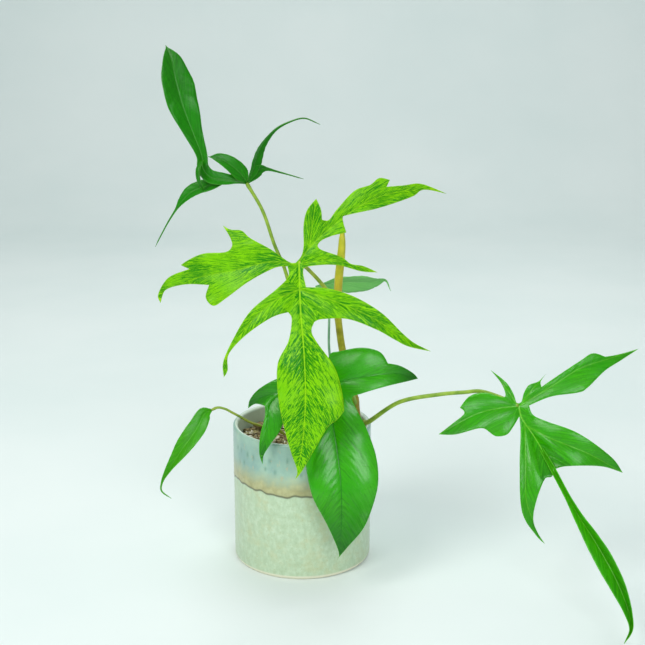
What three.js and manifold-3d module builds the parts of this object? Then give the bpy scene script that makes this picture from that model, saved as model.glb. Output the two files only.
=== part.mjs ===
// Potted philodendron with lobed, drooping leaves in a straight-sided glazed stoneware pot.
// Millimetres, +Z up, origin at the middle of the pot's underside. The plant faces -Y.
import * as THREE from 'three';
import { mergeVertices } from 'three/addons/utils/BufferGeometryUtils.js';
import ManifoldModule from 'manifold-3d';

const wasm = await ManifoldModule();
wasm.setup();

// ---------------------------------------------------------------- driving dimensions
const POT_RADIUS = 65;        // outside of the pot
const POT_HEIGHT = 132;
const POT_WALL = 4.8;
const POT_FLOOR = 7;          // thickness of the pot's floor
const SOIL_DROP = 16;         // from the rim down to the potting mix
const STEM_RADIUS = 3.6;
const PETIOLE_RADIUS = 1.9;
const BLADE_THICKNESS = 1.0;
const LEAF_SCALE = 1.0;       // length and width of every blade about its junction
const BLADE_CELL = 9;         // facet size of a blade
const FIT_GAP = 0.3;          // clearance where one piece meets another

const SOIL_TOP = POT_HEIGHT - SOIL_DROP;
const SOIL_RADIUS = POT_RADIUS - POT_WALL - FIT_GAP;
const RIM_LIFT = POT_HEIGHT - 132;     // the plant rises and sinks with the rim
const RIM_SPREAD = POT_RADIUS - 65;    // and moves outwards with it
const TABLE_GAP = 4;                   // least height of a hanging tip above the table

const v3 = (x, y, z) => new THREE.Vector3(x, y, z);
const degrees = THREE.MathUtils.degToRad;

// ---------------------------------------------------------------- solids
// A closed three.js geometry as a manifold-3d solid with its faces outwards.
function solidOf(geometry) {
  const bare = geometry.clone();
  bare.deleteAttribute('normal');
  bare.deleteAttribute('uv');
  const merged = mergeVertices(bare, 1e-4);
  const vertProperties = merged.attributes.position.array, triVerts = Uint32Array.from(merged.index.array);
  const solid = new wasm.Manifold(new wasm.Mesh({ numProp: 3, vertProperties, triVerts }));
  if (solid.volume() > 0) return solid;
  for (let i = 0; i < triVerts.length; i += 3) {
    [triVerts[i + 1], triVerts[i + 2]] = [triVerts[i + 2], triVerts[i + 1]];
  }
  return new wasm.Manifold(new wasm.Mesh({ numProp: 3, vertProperties, triVerts }));
}

const joined = (solids) => solids.reduce((all, one) => all.add(one));

function geometryOf(solid) {
  const mesh = solid.getMesh();
  const g = new THREE.BufferGeometry();
  g.setAttribute('position', new THREE.BufferAttribute(mesh.vertProperties, 3));
  g.setIndex(new THREE.BufferAttribute(mesh.triVerts, 1));
  const flat = g.toNonIndexed();
  flat.computeVertexNormals();
  return flat;
}

// Moves every vertex of a geometry to where `move` puts it.
function reshape(geometry, move) {
  const p = geometry.attributes.position, at = v3(0, 0, 0);
  for (let i = 0; i < p.count; i++) {
    move(at.fromBufferAttribute(p, i));
    p.setXYZ(i, at.x, at.y, at.z);
  }
  return geometry;
}

// A flat box in nx by ny cells, both broad faces split along the same diagonals so that they bend alike.
function cells(width, height, thickness, nx, ny) {
  const g = new THREE.BoxGeometry(width, height, thickness, nx, ny, 1);
  const index = g.index.array, { start, count } = g.groups[5];
  for (let i = start; i < start + count; i += 6) {
    const [a, b, d, , c] = index.slice(i, i + 6);
    index.set([a, b, c, a, c, d], i);
  }
  return g;
}

// The value at t (0 to 1) of a list of numbers spread evenly along a length.
function spreadAlong(values, t) {
  const at = t * (values.length - 1), k = Math.min(Math.floor(at), values.length - 2);
  return values[k] + (values[k + 1] - values[k]) * (at - k);
}

// A round, tapering shoot along a smooth path; `radii` are spread evenly from its foot to its end.
// `grow` makes it larger all round, for the clearance cut in its neighbour.
function shoot(path, radii, sides = 8, grow = 0) {
  const ends = path.map((p) => v3(...p));
  for (const [end, next] of [[0, 1], [ends.length - 1, ends.length - 2]]) {
    ends[end].addScaledVector(ends[next].clone().sub(ends[end]).normalize(), -grow);
  }
  const curve = new THREE.CatmullRomCurve3(ends, false, 'centripetal');
  const steps = Math.max(6, Math.round(curve.getLength() / 11));
  const section = new THREE.Shape();
  for (let j = 0; j < sides; j++) {
    const a = (2 * Math.PI * j) / sides;
    section[j ? 'lineTo' : 'moveTo'](Math.cos(a), Math.sin(a));
  }
  section.closePath();
  const g = new THREE.ExtrudeGeometry(section, { steps, extrudePath: curve, bevelEnabled: false });
  const centres = curve.getSpacedPoints(steps);
  reshape(g, (p) => {
    let near = 0;
    centres.forEach((c, i) => { if (c.distanceToSquared(p) < centres[near].distanceToSquared(p)) near = i; });
    p.sub(centres[near]).multiplyScalar(spreadAlong(radii, near / steps) + grow).add(centres[near]);
  });
  return solidOf(g);
}

// ---------------------------------------------------------------- pot and potting mix
function potGeometry() {
  const r = POT_RADIUS, h = POT_HEIGHT, ri = POT_RADIUS - POT_WALL;
  const profile = [[0, 0], [r - 3.2, 0], [r - 0.9, 0.9], [r, 3.2], [r, h - 2.2], [r - 0.8, h - 0.6],
    [r - 2.4, h], [ri + 0.8, h - 0.6], [ri, h - 2.4], [ri, POT_FLOOR + 4], [ri - 4, POT_FLOOR],
      [0, POT_FLOOR]];
  const g = new THREE.LatheGeometry(profile.map(([x, y]) => new THREE.Vector2(x, y)), 56);
  return g.rotateX(Math.PI / 2);
}

// Height of the loose surface of the potting mix, heaped a little around the stem.
function soilHeight(x, y) {
  const ripple = 0.9 * Math.sin(x * 0.19 + 1.3) * Math.cos(y * 0.23) + 0.7 * Math.sin(x * 0.07 - y * 0.31);
  const heap = 3.2 * Math.exp(-((x - STEM_BASE[0]) ** 2 + (y - STEM_BASE[1]) ** 2) / 500);
  return SOIL_TOP + ripple + heap;
}

function soilSolid() {
  const r = SOIL_RADIUS, bottom = POT_FLOOR + FIT_GAP;
  const profile = [[0, bottom], [r - 4.2, bottom], [r, bottom + 4.2], ...[1, 0.8, 0.6, 0.4, 0.2, 0]
    .map((share) => [r * share, SOIL_TOP])];
  const g = new THREE.LatheGeometry(profile.map(([x, y]) => new THREE.Vector2(x, y)),
    40).rotateX(Math.PI / 2);
  return solidOf(reshape(g, (p) => { if (p.z > SOIL_TOP - 1) p.z = soilHeight(p.x, p.y); }));
}

// ---------------------------------------------------------------- stems, given at their bases in the mix
// A path follows the rim of the pot; its far end may be held higher so that its blade clears the table.
function follow(path, endLift = RIM_LIFT) {
  return path.map(([x, y, z], i) => {
    const r = Math.hypot(x, y), out = 1 + (RIM_SPREAD * Math.min(1, r / 50)) / Math.max(r, 1);
    return [x * out, y * out, z + RIM_LIFT + ((endLift - RIM_LIFT) * i) / Math.max(1, path.length - 1)];
  });
}
const MAIN_STEM = follow([[51, 7, 104], [52, 8, 130], [47, 8, 165], [38, 8, 200], [33, 8, 238]]);
const STEM_BASE = MAIN_STEM[0];
const GROWTH_TIP = follow([[33, 8, 238.3], [34, 8, 265], [37, 8, 298], [38, 8, 322]]);

// Each leaf: where its blade joins the petiole, which way the blade faces, how far it hangs below that
// joint, and the petiole's path and thickness as a share of PETIOLE_RADIUS.
// Blade outlines lie in the leaf's own plane: +u to the right, +v up, both in mm from the junction.
// An outline is a list of smooth runs; a new run starts at every lobe tip and every sharp notch.
// Ribs carry the height w of the blade out of that plane, towards the viewer.
// A strip is a folded lobe seen on edge: [u, v, w, half width, roll in degrees] along its midrib.
const LEAVES = {
  centre: {
    at: [-2, -60, 300], heading: 0, lean: -13, hangs: 188, colour: 0x7ccb12,
    petiole: [[33, 8, 236], [23, -20, 264], [8, -42, 287]], stout: 1.0,
    outline: [
      [[-3, -1], [2, 5], [4, 14], [4, 31], [7, 44], [15, 54]],
      [[15, 54], [19, 45], [20, 36]],
      [[20, 36], [26, 36], [33, 45], [48, 61], [62, 66.5], [70, 72.5], [79.5, 71]],
      [[79.5, 71], [76.5, 65]],
      [[76.5, 65], [92, 66.5], [108, 68], [131, 60]],
      [[131, 60], [110, 63], [99, 56.5], [70, 46.5], [43, 40.5], [38, 37.5], [41, 25]],
      [[41, 25], [28, 22], [18, 17], [18, 11], [36.5, 4], [45, -2], [56, -4], [68.5, -9.5]],
      [[68.5, -9.5], [54, -8.5], [32, -3], [9, -4], [3.5, -8], [6, -22]],
      [[6, -22], [27, -23.5], [49, -31], [71, -44.5], [89, -62], [100, -71], [115.5, -79]],
      [[115.5, -79], [95, -74], [82, -67.5], [66, -58.5], [42, -49.5], [20, -49.5], [13, -52]],
      [[13, -52], [10.5, -59.5], [14.5, -68.5], [30, -90.5], [36.5, -112], [38.5, -129]],
      [[38.5, -129], [32, -137], [24, -143.5], [12, -164.5], [2, -183], [-4.5, -191.5]],
      [[-4.5, -191.5], [-2.5, -183], [-8, -165], [-15, -137], [-19, -111], [-18.5, -87], [-9.5, -68.5],
        [-6.5, -50], [-9.5, -43.5]],
      [[-9.5, -43.5], [-24, -48], [-46, -63], [-61, -79.5], [-62.5, -94], [-66, -100.5]],
      [[-66, -100.5], [-66, -86.5], [-57, -66.5], [-42, -42.5], [-20, -24], [-9.5, -13], [-10, -4]],
      [[-10, -4], [-21.5, -5.5], [-43.5, -17], [-63.5, -31.5], [-74.5, -38], [-81.5, -31], [-78.5, -20]],
      [[-78.5, -20], [-100, -19.5], [-118, -24.5], [-123, -36]],
      [[-123, -36], [-125, -28], [-115, -13.5], [-96, -6]],
      [[-96, -6], [-103.5, -2.5]],
      [[-103.5, -2.5], [-94.5, 3], [-82.5, 7.5], [-64, 8.5], [-58, 13.5], [-59.5, 21], [-66, 31.5]],
      [[-66, 31.5], [-59, 28], [-49.5, 27], [-42, 20.5], [-24, 10.5], [-9, 0], [-3, -1]],
    ],
    ribs: [
      [[0, 0, 0], [1, -40, 5], [4, -80, 10], [5, -120, 9], [2, -160, 2], [-4, -191, -9]],
      [[0, -24, 3], [30, -34, 11], [62, -48, 13], [90, -66, 5], [115, -79, -8]],
      [[0, -24, 3], [-20, -33, 10], [-42, -52, 13], [-60, -80, 6], [-66, -100, -4]],
      [[-2, -2, 0], [-25, 0, 3], [-55, -7, -2], [-90, -14, -12], [-123, -30, -28]],
      [[0, 0, 0], [9, 12, 1], [26, 28, 0], [60, 52, -5], [95, 62, -14], [130, 60, -27]],
      [[4, -1, 0], [30, 1, 2], [67, -9, -7]],
      [[9, 12, 1], [12, 34, 3], [15, 53, 8]],
    ],
    fold: 0.3, arch: 0.007, ripple: 1.6,
  },
  front: {
    at: [22, -50, 184.7], heading: -1, lean: -20, hangs: 149, colour: 0x2f9a1c,
    petiole: [[49, 7, 148], [46, -6, 165], [38, -24, 178], [29, -38, 182]], stout: 1.0,
    outline: [
      [[-3, 3], [0, 12], [3, 27], [12, 30], [32, 33], [48, 29], [55, 19]],
      [[55, 19], [66, 17], [78, 11], [83, 6]],
      [[83, 6], [72, 3], [52, -2], [32, -8], [23, -12], [28, -24], [36, -40], [44, -63], [46, -85],
        [42, -105], [33, -127], [19, -144], [9, -156]],
      [[9, -156], [11, -149], [1, -125], [-12, -100], [-18, -74], [-20, -48], [-17, -28], [-20, -15]],
      [[-20, -15], [-32, -22], [-42, -42], [-49, -52], [-56, -63], [-57, -71]],
      [[-57, -71], [-60, -61], [-59, -45], [-55, -29], [-55, -19]],
      [[-55, -19], [-64, -17], [-71, -21]],
      [[-71, -21], [-69, -13], [-61, -4], [-45, 5], [-26, 10], [-10, 10], [-3, 3]],
    ],
    ribs: [
      [[0, 0, 0], [3, -20, 2], [9, -55, 7], [13, -90, 7], [13, -130, 1], [9, -156, -5]],
      [[0, 0, 0], [14, 3, 3], [40, 8, 5], [64, 10, 0], [83, 6, -12]],
      [[0, 0, 0], [-20, -3, 2], [-43, -7, 0], [-60, -12, -6], [-71, -21, -13]],
      [[-40, -7, 0], [-50, -18, 1], [-52, -35, 2], [-57, -71, -2]],
    ],
    fold: 0.28, arch: 0.008, ripple: 0.9,
  },
  right: {
    at: [192, -72, 171], heading: -12, lean: -22, hangs: 159, colour: 0x49a71a,
    petiole: [[52, 8, 125], [54, -4, 132.5], [57, -15, 137], [60.5, -25, 140], [89, -38, 164],
      [124, -47, 174], [147, -50, 177],
      [160, -52, 178.5], [178, -58, 174.5]],
    stout: 1.05,
    outline: [
      [[-2, 2], [2, 4], [4, 12], [8, 19], [16, 23], [22, 30]],
      [[22, 30], [18, 23], [19, 18]],
      [[19, 18], [29, 26], [52, 44], [62, 51], [73, 49]],
      [[73, 49], [84, 52], [102, 59]],
      [[102, 59], [87, 47], [73, 36], [59, 20], [51, 15], [28, 10], [9, 1]],
      [[9, 1], [13, -7], [25, -12], [53, -21], [82, -39], [93, -52]],
      [[93, -52], [74, -48], [45, -50], [35, -53]],
      [[35, -53], [32, -60], [26, -63], [20, -82], [18, -98], [22, -109], [29, -119]],
      [[29, -119], [21, -112], [8, -92], [4, -53], [3, -25], [1, -9]],
      [[1, -9], [-4, -19], [-9, -26], [-18, -28], [-24, -25]],
      [[-24, -25], [-32, -22], [-53, -29], [-68, -30]],
      [[-68, -30], [-57, -20], [-47, -10], [-51, -5]],
      [[-51, -5], [-43, 6], [-30, 10], [-16, 7], [-12, 9], [-17, 20], [-27, 31]],
      [[-27, 31], [-13, 21], [-6, 12], [-2, 2]],
    ],
    ribs: [
      [[0, 0, 0], [3, -10, -1], [15, -26, -1], [28, -46, 2], [34, -56, 5]],
      [[6, -14, -1], [9, -50, 7], [12, -85, 5], [29, -119, -12]],
      [[8, -17, -1], [30, -27, 6], [60, -37, 5], [93, -52, -14]],
      [[0, 0, 0], [29, 20, 2], [52, 37, -3], [75, 47, -10], [102, 59, -22]],
      [[0, 0, 0], [-16, -3, 4], [-35, -9, 6], [-68, -30, 14]],
      [[-3, 3, 0], [-11, 14, 2], [-27, 31, -4]],
      [[3, 4, 0], [10, 14, 2], [22, 30, -3]],
    ],
    fold: 0.3, arch: 0.009, ripple: 0.9,
    strips: [
      [[22, -37, 0, 1.8, 0], [33, -54, 4, 2.4, 0], [47, -77, 9, 2.6, 4], [58, -94, 14, 4.2, 8],
        [69, -109, 18, 6.4, 10], [81, -127, 24, 7.8, 10], [92.5, -147, 31, 6.8, 10], [101, -167, 38, 3.8, 10],
        [103.5, -181, 45, 1.6, 10], [98, -192, 51, 0.6, 10]],
    ],
    stripFold: 1.15,
  },
  upper: {
    at: [-50.5, 40, 352.5], heading: 2, lean: -9, hangs: 60, colour: 0x2e8a17,
    petiole: [[51, 8, 124], [43, 10, 138], [28, 12, 150], [12, 16, 174], [-2, 22, 216], [-8, 26, 244],
      [-16, 30, 274],
      [-25, 34, 295], [-36, 38, 327]],
    stout: 1.0,
    ribs: [],
    strips: [
      [[0, 0, 0, 1.6, 30], [-9, 2.5, 1, 4, 26], [-22, 3.5, 2, 6, 22], [-34, 6, 2, 6.5, 16], [-40, 14, 2, 5.6, 12],
        [-41, 25, 2, 5.2, 12], [-48, 45, 4, 8.5, 12], [-57, 70, 7, 14, 16], [-63, 93, 8, 14.5, 18],
        [-67, 112, 6, 9, 20], [-72, 126, 2, 0.8, 20]],
      [[0, 0, 0, 1.6, 30], [-5, 8, 4, 7.6, 26], [-15, 17, 8, 7.4, 24], [-25, 22.5, 10, 5, 26],
        [-35, 24.5, 11, 0.8, 30]],
      [[-20, 2.5, 1, 3, 20], [-33, -1.5, -2, 6, 24], [-45, -5, -5, 6.6, 28], [-53, -9, -7, 6.2, 30],
        [-61, -17, -9, 3.6, 32], [-66, -24, -11, 1.4, 34], [-74, -36, -14, 0.9, 40], [-87, -59, -18, 0.6, 40]],
      [[0, 0, 0, 1.6, 50], [5, 10, -3, 5, 50], [9, 22, -6, 7, 52], [16, 37, -10, 4.5, 56],
        [28, 50, -14, 2.2, 60],
        [42, 57, -17, 1.1, 60], [55, 60, -20, 0.9, 60], [70, 54, -24, 0.6, 60]],
      [[0, 0, 0, 1.6, 30], [6, 7, -6, 4.6, 24], [12, 12.5, -10, 5.2, 24], [19, 13, -13, 2, 30],
        [34, 9, -18, 1, 60], [54, 3, -26, 0.6, 60]],
      [[-40, 21, 6, 2.6, 50], [-43.5, 12, 10, 3.4, 52], [-43, 2, 7, 3, 50], [-40, -6, -1, 2, 40]],
    ],
    stripFold: 0.35,
  },
  left: {
    at: [-86, 12, 140], heading: 5, lean: -20, hangs: 80, colour: 0x3c9a17,
    petiole: [[-12, 8, 108], [-22, 8, 121], [-39, 8, 125.5], [-49, 8, 129], [-60, 9, 135], [-66, 10, 138],
      [-73, 11, 141.5],
      [-80, 12, 142.5]],
    stout: 0.7,
    ribs: [],
    strips: [
      [[0, 0, 0, 1.4, 0], [-6, -3, 1, 6.4, 6], [-13, -15, 3, 8.6, 10], [-20, -25, 4, 8.8, 14],
        [-27, -34, 4, 8, 18],
        [-34, -44, 3, 5.8, 22], [-42, -55, 2, 3.2, 25], [-48, -66, -1, 1.2, 25], [-49, -74, -2, 0.8, 25],
        [-40, -82, -3, 0.6, 25]],
    ],
    stripFold: 0.35,
  },
  back: {
    at: [28, 90, 240], heading: -3, lean: -14, hangs: 12, colour: 0x4f9e58,
    petiole: [[52, 8, 126], [49.5, 16, 133], [42, 29, 145], [32, 44, 160], [27, 60, 183], [27, 76, 206],
      [28, 87, 226]],
    stout: 0.7,
    ribs: [],
    strips: [
      [[-14, 1, 4, 1, 40], [-4, 3, 2, 5, 42], [6, 5, 0, 9, 44], [20, 6, -2, 11.5, 46], [34, 6, -4, 11, 48],
        [46, 7, -6, 6, 50], [55, 8, -8, 1.6, 50], [60, -3, -10, 0.7, 50]],
    ],
    stripFold: 0.35,
  },
};

// ---------------------------------------------------------------- blades
const smoothRun = (run) => {
  if (run.length < 3) return run.slice(0, -1);
  const curve = new THREE.SplineCurve(run.map((p) => new THREE.Vector2(...p)));
  const n = Math.max(run.length, Math.round(curve.getLength() / 8));
  return curve.getSpacedPoints(n).slice(0, -1).map((p) => [p.x, p.y]);
};

// Height of a blade out of its plane: each rib lifts its own lobe, the halves fold up from the
// rib like a shallow gutter, arch over again, and ripple towards the margin.
function bladeHeight(leaf, u, v) {
  let total = 0, sum = 0;
  leaf.ribs.forEach((rib, r) => {
    let best = null, run = 0;
    for (let i = 0; i + 1 < rib.length; i++) {
      const [au, av, aw] = rib[i], [bu, bv, bw] = rib[i + 1];
      const du = bu - au, dv = bv - av, len = Math.hypot(du, dv);
      const t = Math.min(1, Math.max(0, ((u - au) * du + (v - av) * dv) / (len * len)));
      const d = Math.hypot(u - au - t * du, v - av - t * dv);
      if (!best || d < best.d) best = { d, w: aw + t * (bw - aw), s: run + t * len };
      run += len;
    }
    const { d, w, s } = best;
    const side = leaf.ripple * Math.sin(s * 0.16 + r * 1.7) * Math.min(1, d / 22) ** 2;
    const weight = 1 / (d * d + 6) ** 2;
    total += weight * (w + leaf.fold * d - leaf.arch * d * d + side);
    sum += weight;
  });
  return total / sum;
}

// The curved sheet that a blade is cut from, over a patch of the leaf's plane.
function sheet(leaf, [u0, v0, u1, v1], below, above) {
  const nu = Math.ceil((u1 - u0) / BLADE_CELL), nv = Math.ceil((v1 - v0) / BLADE_CELL);
  const g = cells(u1 - u0, v1 - v0, above - below, nu, nv);
  g.translate((u0 + u1) / 2, (v0 + v1) / 2, (above + below) / 2);
  return solidOf(reshape(g, (p) => { p.z += bladeHeight(leaf, p.x, p.y); }));
}

// A lobe folded along its midrib, bent from a flat strip two facets wide.
function foldedLobe(stations, fold, thickness) {
  const curve = new THREE.CatmullRomCurve3(stations.map(([u, v, w]) => v3(u, v, w)), false, 'centripetal');
  const steps = Math.max(stations.length, Math.round(curve.getLength() / 9));
  const g = cells(2, 1, thickness, 2, steps).translate(0, 0.5, 0);
  return solidOf(reshape(g, (p) => {
    const [side, t, skin] = [p.x, Math.min(1, Math.max(0, p.y)), p.z];
    const half = spreadAlong(stations.map((s) => s[3]), t), roll = spreadAlong(stations.map((s) => s[4]), t);
    const along = curve.getTangent(t);
    const face = v3(0, 0, 1).addScaledVector(along, -along.z).normalize();
    face.applyAxisAngle(along, degrees(roll));
    const across = along.clone().cross(face);
    p.copy(curve.getPoint(t)).addScaledVector(across, side * half)
      .addScaledVector(face, Math.abs(side) * half * fold + skin);
  }));
}

// The petiole's path, from its foot to the joint with the blade.
function stalkPath(leaf) {
  const room = TABLE_GAP + leaf.hangs * LEAF_SCALE - leaf.at[2];
  return follow([...leaf.petiole, leaf.at], Math.max(RIM_LIFT, room));
}

const hub = (radius) => solidOf(new THREE.IcosahedronGeometry(radius, 1));

const scaledStrips = (leaf) => (leaf.strips ?? []).map((strip) => strip
  .map(([u, v, w, half, roll]) => [u * LEAF_SCALE, v * LEAF_SCALE, w * LEAF_SCALE, half * LEAF_SCALE, roll]));

// A blade in the leaf's own plane.
function bladeSolid(leaf) {
  const parts = scaledStrips(leaf).map((s) => foldedLobe(s, leaf.stripFold, 1.2 * BLADE_THICKNESS));
  if (leaf.outline) {
    const outline = leaf.outline.flatMap(smoothRun).map(([u, v]) => new THREE.Vector2(u, v));
    const box = new THREE.Box2().setFromPoints(outline).expandByScalar(3);
    const prism = new THREE.ExtrudeGeometry(new THREE.Shape(outline), { depth: 160, bevelEnabled: false });
    const flat = sheet(leaf, [box.min.x, box.min.y, box.max.x, box.max.y], -BLADE_THICKNESS / 2,
      BLADE_THICKNESS / 2);
    const cut = geometryOf(flat.intersect(solidOf(prism.translate(0, 0, -80))));
    parts.push(solidOf(cut.scale(LEAF_SCALE, LEAF_SCALE, 1)));
  } else {
    parts.push(hub(2.4));
  }
  return joined(parts);
}

// Everything on the blade's side of the joint, so that the petiole can stop just short of the blade.
function bladeReach(leaf) {
  const t = BLADE_THICKNESS / 2 + FIT_GAP;
  const parts = scaledStrips(leaf)
    .map((strip) => foldedLobe(strip.map(([u, v, w, half, roll]) => [u, v, w, half + FIT_GAP, roll]),
      leaf.stripFold, 2 * t));
  parts.push(leaf.outline ? sheet(leaf, [-14, -14, 14, 14], -t, 30) : hub(2.4 + FIT_GAP));
  return joined(parts);
}

// ---------------------------------------------------------------- loose pieces lying on the mix
const CHIPS = [
  // name, place as a share of the mix's radius in x and y, half length, half width, half height, turn
  ['bark_chip_1', -0.55, -0.58, 7.2, 4.4, 1.9, 20], ['bark_chip_2', -0.28, -0.78, 6.0, 3.6, 2.2, -10],
  ['bark_chip_3', 0.30, -0.62, 7.0, 4.2, 2.0, 60], ['bark_chip_4', 0.16, 0.62, 7.4, 4.4, 2.2, 15],
  ['bark_chip_5', -0.70, 0.42, 6.4, 4.0, 1.9, -60],
  ['pumice_1', -0.82, -0.22, 4.2, 3.4, 2.8, 70], ['pumice_2', -0.05, -0.86, 3.6, 3.1, 2.5, 10],
  ['pumice_3', -0.48, -0.26, 4.6, 3.8, 2.9, 75], ['pumice_4', 0.58, -0.62, 4.0, 3.3, 2.7, 25],
  ['pumice_5', 0.46, 0.74, 4.4, 3.6, 3.0, -40], ['pumice_6', -0.36, 0.76, 3.8, 3.2, 2.6, 5],
];

// A chip lies in its own frame, turned about its middle and lowered until it just clears the mix.
function addChip([name, fx, fy, a, b, c, turn], index) {
  const bark = name.startsWith('bark');
  const g = bark ? new THREE.BoxGeometry(2 * a, 2 * b, 2 * c, 3, 2, 1) : new THREE.IcosahedronGeometry(1, 1);
  if (!bark) g.scale(a, b, c);
  reshape(g, (p) => {
    const n = Math.sin(p.x * 1.7 + index * 2.1) * Math.cos(p.y * 1.9 - index) + Math.sin(p.z * 2.3 + index);
    const k = 1 + 0.09 * n, end = bark ? 1 - 0.35 * (p.x / a) ** 2 : 1;
    p.set(p.x * k, p.y * k * end, p.z * (bark ? end : k));
  });
  const mesh = add(name, g, bark ? 0x7a4a24 : 0xc9c2ad, bark ? 0.9 : 0.95);
  mesh.position.set(fx * SOIL_RADIUS, fy * SOIL_RADIUS, 0);
  mesh.rotation.z = degrees(turn);
  mesh.updateMatrix();
  let rise = -Infinity;
  reshape(g.clone().applyMatrix4(mesh.matrix), (p) => { rise = Math.max(rise, soilHeight(p.x, p.y) - p.z); });
  mesh.position.z = rise + 2 * FIT_GAP;
}

// ---------------------------------------------------------------- assembly
const part = new THREE.Group();
part.name = 'potted_philodendron';

function add(name, geometry, colour, roughness, parent = part) {
  const mesh = new THREE.Mesh(geometry, new THREE.MeshStandardMaterial({ color: colour, roughness,
    metalness: 0 }));
  mesh.name = name;
  parent.add(mesh);
  return mesh;
}

const stemRadii = [1.15, 1.05, 1, 0.95, 0.9].map((k) => k * STEM_RADIUS);
const tipRadii = [0.88, 1.0, 1.04, 1.0, 0.8, 0.15].map((k) => k * STEM_RADIUS);
const stemReach = shoot(MAIN_STEM, stemRadii, 10, FIT_GAP);
let taken = stemReach.add(shoot(GROWTH_TIP, tipRadii, 10, FIT_GAP));
let soil = soilSolid().subtract(stemReach);

add('pot', potGeometry(), 0x9fb7b0, 0.25);
add('main_stem', geometryOf(shoot(MAIN_STEM, stemRadii, 10)), 0x8c7a22, 0.5);
add('growth_tip', geometryOf(shoot(GROWTH_TIP, tipRadii, 10).subtract(stemReach)), 0xb5b020, 0.45);

for (const [name, leaf] of Object.entries(LEAVES)) {
  const path = stalkPath(leaf);
  const stand = new THREE.Group();          // turns the blade about the upright line through its joint
  stand.position.set(...path.at(-1));
  stand.rotation.z = degrees(leaf.heading);
  part.add(stand);
  const blade = add(`blade_${name}`, geometryOf(bladeSolid(leaf)), leaf.colour, 0.4, stand);
  blade.rotation.x = degrees(90 + leaf.lean);
  stand.updateMatrixWorld(true);

  const radii = [1.35, 1, 0.9, 0.85].map((k) => k * leaf.stout * PETIOLE_RADIUS);
  const reach = solidOf(geometryOf(bladeReach(leaf)).applyMatrix4(blade.matrixWorld));
  add(`petiole_${name}`, geometryOf(shoot(path, radii).subtract(taken).subtract(reach)), 0x7f8f2a, 0.45);
  const grown = shoot(path, radii, 8, FIT_GAP);
  taken = taken.add(grown);
  soil = soil.subtract(grown);
}

add('potting_mix', geometryOf(soil), 0x8a7a55, 0.95);
CHIPS.forEach(addChip);

export default part;
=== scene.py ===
import math
import random

import bpy
import numpy as np
from mathutils import Matrix, Vector, geometry


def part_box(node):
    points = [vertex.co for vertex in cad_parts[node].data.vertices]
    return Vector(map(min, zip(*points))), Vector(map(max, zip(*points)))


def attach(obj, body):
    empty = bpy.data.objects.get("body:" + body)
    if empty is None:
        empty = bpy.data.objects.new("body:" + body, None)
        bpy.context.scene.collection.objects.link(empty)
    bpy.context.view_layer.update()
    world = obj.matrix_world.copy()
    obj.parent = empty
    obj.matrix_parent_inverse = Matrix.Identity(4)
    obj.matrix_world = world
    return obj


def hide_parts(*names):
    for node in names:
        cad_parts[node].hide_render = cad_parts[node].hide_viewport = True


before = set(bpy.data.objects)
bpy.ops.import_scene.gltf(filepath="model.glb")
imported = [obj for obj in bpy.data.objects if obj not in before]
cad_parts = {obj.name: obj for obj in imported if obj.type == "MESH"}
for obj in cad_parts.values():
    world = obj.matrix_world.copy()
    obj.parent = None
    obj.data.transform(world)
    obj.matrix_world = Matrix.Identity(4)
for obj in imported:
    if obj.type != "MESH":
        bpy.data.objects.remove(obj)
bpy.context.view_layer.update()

bl_info = {
    "name": "Potted Philodendron",
    "version": (1, 0, 0),
    "blender": (4, 5, 0),
    "location": "View3D > Sidebar > Philodendron",
    "description": "Builds a lobed-leaf philodendron in a glazed stoneware pot",
    "category": "Add Mesh",
}

MM = 0.001

# ------------------------------------------------------------------ sizes shared with the frame, in mm
POT_LOW, POT_HIGH = (np.array(corner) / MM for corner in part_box("pot"))
POT_RADIUS = (POT_HIGH[0] - POT_LOW[0]) / 2
POT_HEIGHT = POT_HIGH[2]
POT_WALL = 4.8
POT_FLOOR = 7.0
# The mix ends this far below the rim, and keeps this far from the pot's wall and floor.
SOIL_DROP = 16
SOIL_CLEARANCE = 0.3
SOIL_TOP = POT_HEIGHT - SOIL_DROP
SOIL_RADIUS = POT_RADIUS - POT_WALL - SOIL_CLEARANCE
# The two glazes meet at about this height.
SEAM_LEVEL = 83.0
STEM_RADIUS = 3.6
PETIOLE_RADIUS = 1.9
MAIN_STEM = [[51, 7, 104], [52, 8, 130], [47, 8, 165], [38, 8, 200], [33, 8, 238]]
GROWTH_TIP = [[33, 8, 238], [34, 8, 265], [37, 8, 298], [38, 8, 322]]
# Side veins set off from a midrib this far apart.
VEIN_GAP = 8.0

# Each lobe carries a number that keeps its pattern apart from its neighbours'. The lobe on a blade's first
# rib is 0. The other ribs count on in one step, folded strips in another, and all of them lie above
# SIDE_LOBE, which is a plain number like the steps.
RIB_STEP = 7.3
STRIP_STEP = 3.1
SIDE_LOBE = 3.0

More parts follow.
